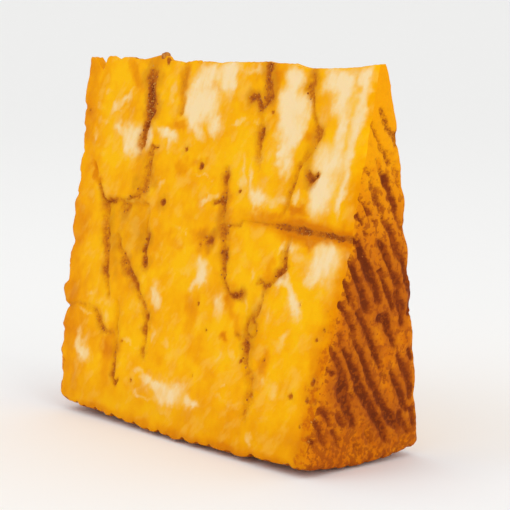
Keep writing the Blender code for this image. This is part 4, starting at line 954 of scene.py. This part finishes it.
def paste_material():
    """Pressed sheep's milk paste, cut and steeped in chilli oil: saturated amber where the oil went in,
    streaked cream where it didn't, brown ground chilli in the cracks, and a faint oily gloss. Painted olive
    shade darkens its hollows, the sides of its cracks and the paste towards the rim."""
    material, add = new_material("oil_steeped_sheep_cheese_paste")
    broad, middling, fine, grit, streaks, curls = surface_patterns(
        add, (16.0, 3.0), (4.5, 4.0), (1.3, 3.0), (0.55, 2.0), (3.0, 2.0, 16.0, 4.0), (3.2, 3.0, 40.0, 2.2))
    soaked, stain, pale, shade, low, crack_stain_and_shade, crack, spot, dust = (
        add("Attribute", output="Fac", attribute_name=name) for name in
        ("soaked", "stain", "pale", "shade", "low", "crack_stain_and_shade", "crack", "spot", "dust"))

    oily = add("Math", (soaked, stain), operation='MAXIMUM')
    depth = unsettled(add, oily, (broad, 1.5), (middling, 1.0), (streaks, 0.4), lift=0.24)
    amber = add("ValToRGB", (depth,), stops=((0.0, "#F7B808"), (0.25, "#F4AC03"), (0.5, "#EE9E01"),
                                             (0.78, "#E48E01"), (1.0, "#D87C02")))

    pale = unsettled(add, pale, (streaks, 0.8), (middling, 0.8), (fine, 0.15))
    wisps = add("MapRange", (unsettled(add, curls, (middling, 0.6)), 0.50, 0.72, 0.0, 0.45), **SMOOTHLY)
    dry = add("MapRange", (oily, 0.1, 0.6, 1.0, 0.15), **SMOOTHLY)
    wisps = add("Math", (wisps, dry), operation='MULTIPLY')
    dry_share = add("Math", (add("MapRange", (pale, 0.10, 0.95), **SMOOTHLY), wisps), operation='MAXIMUM')
    cream = add("ValToRGB", (pale,), stops=((0.2, "#F6C04A"), (0.55, "#F3C872"), (1.0, "#F3D7A4")))

    patchy = add("MapRange", (middling, 0.3, 0.7, 0.4, 0.85), **SMOOTHLY)
    # Painted olive shade, patchy, in the hollow below the slip and beside cracks.
    shade_share = add("Math", (shade, patchy), operation='MULTIPLY')
    # Painted shade: the paste darkens towards the rim at the bottom, less where it is pale.
    low_shade_strength = add("MapRange", (pale, 0.3, 0.8, 0.22, 0.1), **SMOOTHLY)
    painted_low_shade_share = add("Math", (low, low_shade_strength), operation='MULTIPLY')
    # Beside cracks and holes: real oil stain and painted shade together.
    crack_stain_and_shade = unsettled(add, crack_stain_and_shade, (middling, 0.35), (fine, 0.3))
    crack_stain_and_shade_share = add("MapRange", (crack_stain_and_shade, 0.06, 0.70, 0.0, 0.9), **SMOOTHLY)

    crack = add("Math", (crack, 1.2), operation='POWER')
    crack = add("Math", (crack, spot), operation='MAXIMUM')
    ragged = unsettled(add, 0.0, (fine, 0.7), (grit, 0.45))
    near = add("MapRange", (crack, 0.02, 0.4), **SMOOTHLY)
    crack = add("Math", (ragged, near, crack), operation='MULTIPLY_ADD')
    chilli = add("ValToRGB", (crack,), stops=((0.1, "#D88A10"), (0.35, "#C87616"), (0.6, "#B05E16"),
                                              (0.85, "#964614"), (1.0, "#7C3612")))
    dusted = add("Math", (dust, 0.3, unsettled(add, fine, (grit, 0.4))), operation='MULTIPLY_ADD')
    dust_share = add("Math", (add("MapRange", (dusted, 0.72, 0.94), **SMOOTHLY), dust), operation='MULTIPLY')

    crack_share = add("MapRange", (crack, 0.04, 0.54), **SMOOTHLY)
    colour = amber
    for share, coat in ((dry_share, cream), (shade_share, linear("#C9840A")), (painted_low_shade_share, linear("#D99202")),
                        (crack_stain_and_shade_share, linear("#D2880E")), (crack_share, chilli),
                        (dust_share, linear("#C4660A"))):
        colour = add("Mix", {0: share, 6: colour, 7: coat}, output=2, data_type='RGBA')
    grain = add("Math", (fine, 0.6, add("Math", (grit, 0.4), operation='MULTIPLY')), operation='MULTIPLY_ADD')
    bump = add("Bump", {"Height": grain, "Strength": 0.3, "Distance": 0.3 * MM})
    shader = add("BsdfPrincipled",
                 {"Base Color": colour, "Roughness": add("MapRange", (crack, 0.1, 0.5, 0.5, 0.8), **SMOOTHLY),
                  "IOR": 1.46, "Normal": bump, "Specular IOR Level": 0.03, "Subsurface Weight": 0.1,
                  "Subsurface Radius": (2.4 * MM, 1.1 * MM, 0.3 * MM), "Subsurface Scale": 1.0})
    add("OutputMaterial", (shader,))
    return material


def rind_material():
    """Washed sheep cheese rind pressed in a woven mould and rubbed with oil and ground chilli: orange
    where it is rubbed thin near the cuts, rusty between the grooves and dark brown inside them."""
    material, add = new_material("basket_marked_chilli_rind")
    broad, middling, spots, fine, grit = surface_patterns(
        add, (7.0, 3.0), (2.4, 4.0), (1.5, 2.0), (0.9, 3.0), (0.45, 2.0))
    halo, rind_edge, groove, low = (add("Attribute", output="Fac", attribute_name=name)
                                    for name in ("halo", "rind_edge", "groove", "low"))

    tone = unsettled(add, 0.5, (broad, 0.5), (middling, 0.5))
    rusty = add("ValToRGB", (tone,), stops=((0.34, "#E08404"), (0.45, "#D67604"), (0.55, "#C86806"),
                                            (0.68, "#B65A08")))
    halo = unsettled(add, halo, (middling, 0.7))
    edge = unsettled(add, rind_edge, (middling, 0.6))
    rubbed = add("ValToRGB", (edge,), stops=((0.3, "#D87A08"), (0.85, "#E68E04"), (1.0, "#F09E03")))
    groove = unsettled(add, groove, (middling, 0.4), (fine, 0.4), (grit, 0.3))
    dark = add("ValToRGB", (groove,), stops=((0.2, "#B0560F"), (0.5, "#97430F"), (0.75, "#80360E"),
                                             (1.0, "#6C2C0D")))
    specks = add("Math", (low, 0.08, unsettled(add, spots, (fine, 0.6))), operation='MULTIPLY_ADD')
    specks = add("MapRange", (specks, 0.50, 0.64), **SMOOTHLY)
    kept = add("MapRange", (edge, 0.6, 1.1, 0.75, 0.05), **SMOOTHLY)
    halo_share = add("MapRange", (halo, 0.2, 0.9, 0.0, 0.7), **SMOOTHLY)
    rubbed_share = add("MapRange", (edge, 0.10, 0.85), **SMOOTHLY)
    groove_share = add("MapRange", (groove, 0.24, 0.74), **SMOOTHLY)
    speck_share = add("Math", (specks, kept), operation='MULTIPLY')
    colour = rusty
    for share, coat in ((halo_share, linear("#B45C10")), (rubbed_share, rubbed), (groove_share, dark),
                        (speck_share, linear("#A04A0C"))):
        colour = add("Mix", {0: share, 6: colour, 7: coat}, output=2, data_type='RGBA')

    height = unsettled(add, 0.5, (middling, 0.6), (fine, 0.4))
    bump = add("Bump", {"Height": height, "Strength": 0.5, "Distance": 0.6 * MM})
    shader = add("BsdfPrincipled",
                 {"Base Color": colour, "Roughness": 0.6, "IOR": 1.46, "Normal": bump,
                  "Specular IOR Level": 0.05, "Subsurface Weight": 0.05,
                  "Subsurface Radius": (1.6 * MM, 0.6 * MM, 0.2 * MM), "Subsurface Scale": 1.0})
    add("OutputMaterial", (shader,))
    return material


def chilli_material():
    """Ground dried chilli wetted with oil: each grain its own brown, from dark skin to pale seed."""
    material, add = new_material("ground_dried_chilli")
    mottle, = surface_patterns(add, (0.5, 2.0))
    tint = add("Attribute", output="Fac", attribute_name="tint")
    colour = add("ValToRGB", (unsettled(add, tint, (mottle, 0.4)),),
                 stops=((0.0, "#8E4418"), (0.35, "#A65A1C"), (0.7, "#BC7424"), (0.92, "#CE9038")))
    shader = add("BsdfPrincipled",
                 {"Base Color": colour, "Roughness": 0.6, "IOR": 1.46, "Specular IOR Level": 0.2})
    add("OutputMaterial", (shader,))
    return material


def floor_material():
    """Matt white studio paper: bright, with nothing to see on it but a soft shadow."""
    material, add = new_material("matt_white_studio_paper")
    shader = add("BsdfPrincipled",
                 {"Base Color": linear("#F6F6F5"), "Roughness": 0.9, "Specular IOR Level": 0.1})
    add("OutputMaterial", (shader,))
    return material


# Stage. The floor's profile is in metres, and the camera's offset from the wheel's axis in millimetres.

FLOOR_PROFILE = ((0.6, 0.0), (1.2, 0.0), (1.5, 0.012), (1.8, 0.05), (2.1, 0.12), (2.4, 0.23), (2.7, 0.4))
FLOOR_SIDES = 96
CAMERA_OFFSET = (327.5, -268.3, 4.8)
CAMERA_AZIMUTH = math.radians(49.67)
CAMERA_ELEVATION = math.radians(7.68)
CAMERA_LENS = 122.5
SURROUNDINGS_STRENGTH = 0.92
# Place, size and power of each light, and the place that both point at, in metres and watts.
LIGHTS = {"key": ((-0.35, -0.75, 0.75), 0.6, 1.3), "fill": ((0.9, -0.1, 0.35), 0.5, 1.5)}
LIT_PLACE = (0.0, 0.0, 0.045)


def build_floor():
    """A round floor whose far edge curves up, so that no horizon shows: a profile of distance and
    height turned about the vertical axis, and a flat disc in its middle."""
    reach, height = np.array(FLOOR_PROFILE).T
    turn = np.linspace(0.0, 2.0 * math.pi, FLOOR_SIDES, endpoint=False)
    rings = np.stack([np.outer(reach, np.cos(turn)), np.outer(reach, np.sin(turn)),
                      np.outer(height, np.ones(FLOOR_SIDES))], axis=2).reshape(-1, 3)
    ring, step = np.meshgrid(np.arange(len(reach) - 1), np.arange(FLOOR_SIDES), indexing="ij")
    inner, after = ring * FLOOR_SIDES, (step + 1) % FLOOR_SIDES
    outer = inner + FLOOR_SIDES
    quads = np.stack([inner + step, outer + step, outer + after, inner + after], axis=2).reshape(-1, 4)
    mesh = bpy.data.meshes.new("floor")
    mesh.from_pydata(rings.tolist(), [], quads.tolist() + [list(range(FLOOR_SIDES))])
    mesh.polygons.foreach_set("use_smooth", np.ones(len(mesh.polygons), dtype=bool))
    mesh.materials.append(floor_material())
    floor = bpy.data.objects.new("floor", mesh)
    bpy.context.scene.collection.objects.link(floor)


def add_light(name, place, size, power):
    """A square soft light at a place, turned to the middle of the wedge."""
    light = bpy.data.lights.new(name, 'AREA')
    light.size = size
    light.energy = power
    item = bpy.data.objects.new(name, light)
    item.location = place
    item.rotation_euler = (Vector(LIT_PLACE) - Vector(place)).to_track_quat('-Z', 'Y').to_euler()
    bpy.context.scene.collection.objects.link(item)


def build_light():
    """Even white surroundings, a large soft light at the upper left and a weaker one at the right."""
    world = bpy.data.worlds.new("studio")
    world.use_nodes = True
    back = world.node_tree.nodes["Background"]
    back.inputs["Color"].default_value = (1.0, 1.0, 1.0, 1.0)
    back.inputs["Strength"].default_value = SURROUNDINGS_STRENGTH
    bpy.context.scene.world = world
    for name, (place, size, power) in LIGHTS.items():
        add_light(name, place, size, power)


def build_camera(shift):
    """The camera at the photograph's angle, placed from the wheel's axis at half its thickness."""
    camera = bpy.data.cameras.new("camera")
    camera.lens = CAMERA_LENS
    camera.sensor_width = 36.0
    camera.clip_start = 0.01
    item = bpy.data.objects.new("camera", camera)
    axis = np.array([shift[0], shift[1], AXIS_HEIGHT])
    item.location = tuple((axis + np.array(CAMERA_OFFSET)) * MM)
    item.rotation_euler = (math.pi / 2 - CAMERA_ELEVATION, 0.0, CAMERA_AZIMUTH)
    bpy.context.scene.collection.objects.link(item)
    bpy.context.scene.camera = item


def build():
    """Make the dressed wedge, its stage, lights and camera."""
    bpy.context.scene.view_settings.view_transform = 'Standard'
    chilli = chilli_material()
    points, faces, paste_count, marks, shift = wedge_surface()
    weight = marks.pop("chilli")
    add_piece("cheese_body", points, faces, (paste_material(), rind_material()), marks, paste_count)
    grains, grain_faces, tint = ground_chilli(points, faces, weight)
    add_piece("chilli_grains", grains, grain_faces, (chilli,), {"tint": tint}, rounded=False)
    crumb, crumb_faces, tint = tip_crumb(shift)
    add_piece("crumb_on_tip", crumb, crumb_faces, (chilli,), {"tint": tint})
    build_floor()
    build_light()
    build_camera(shift)


build()
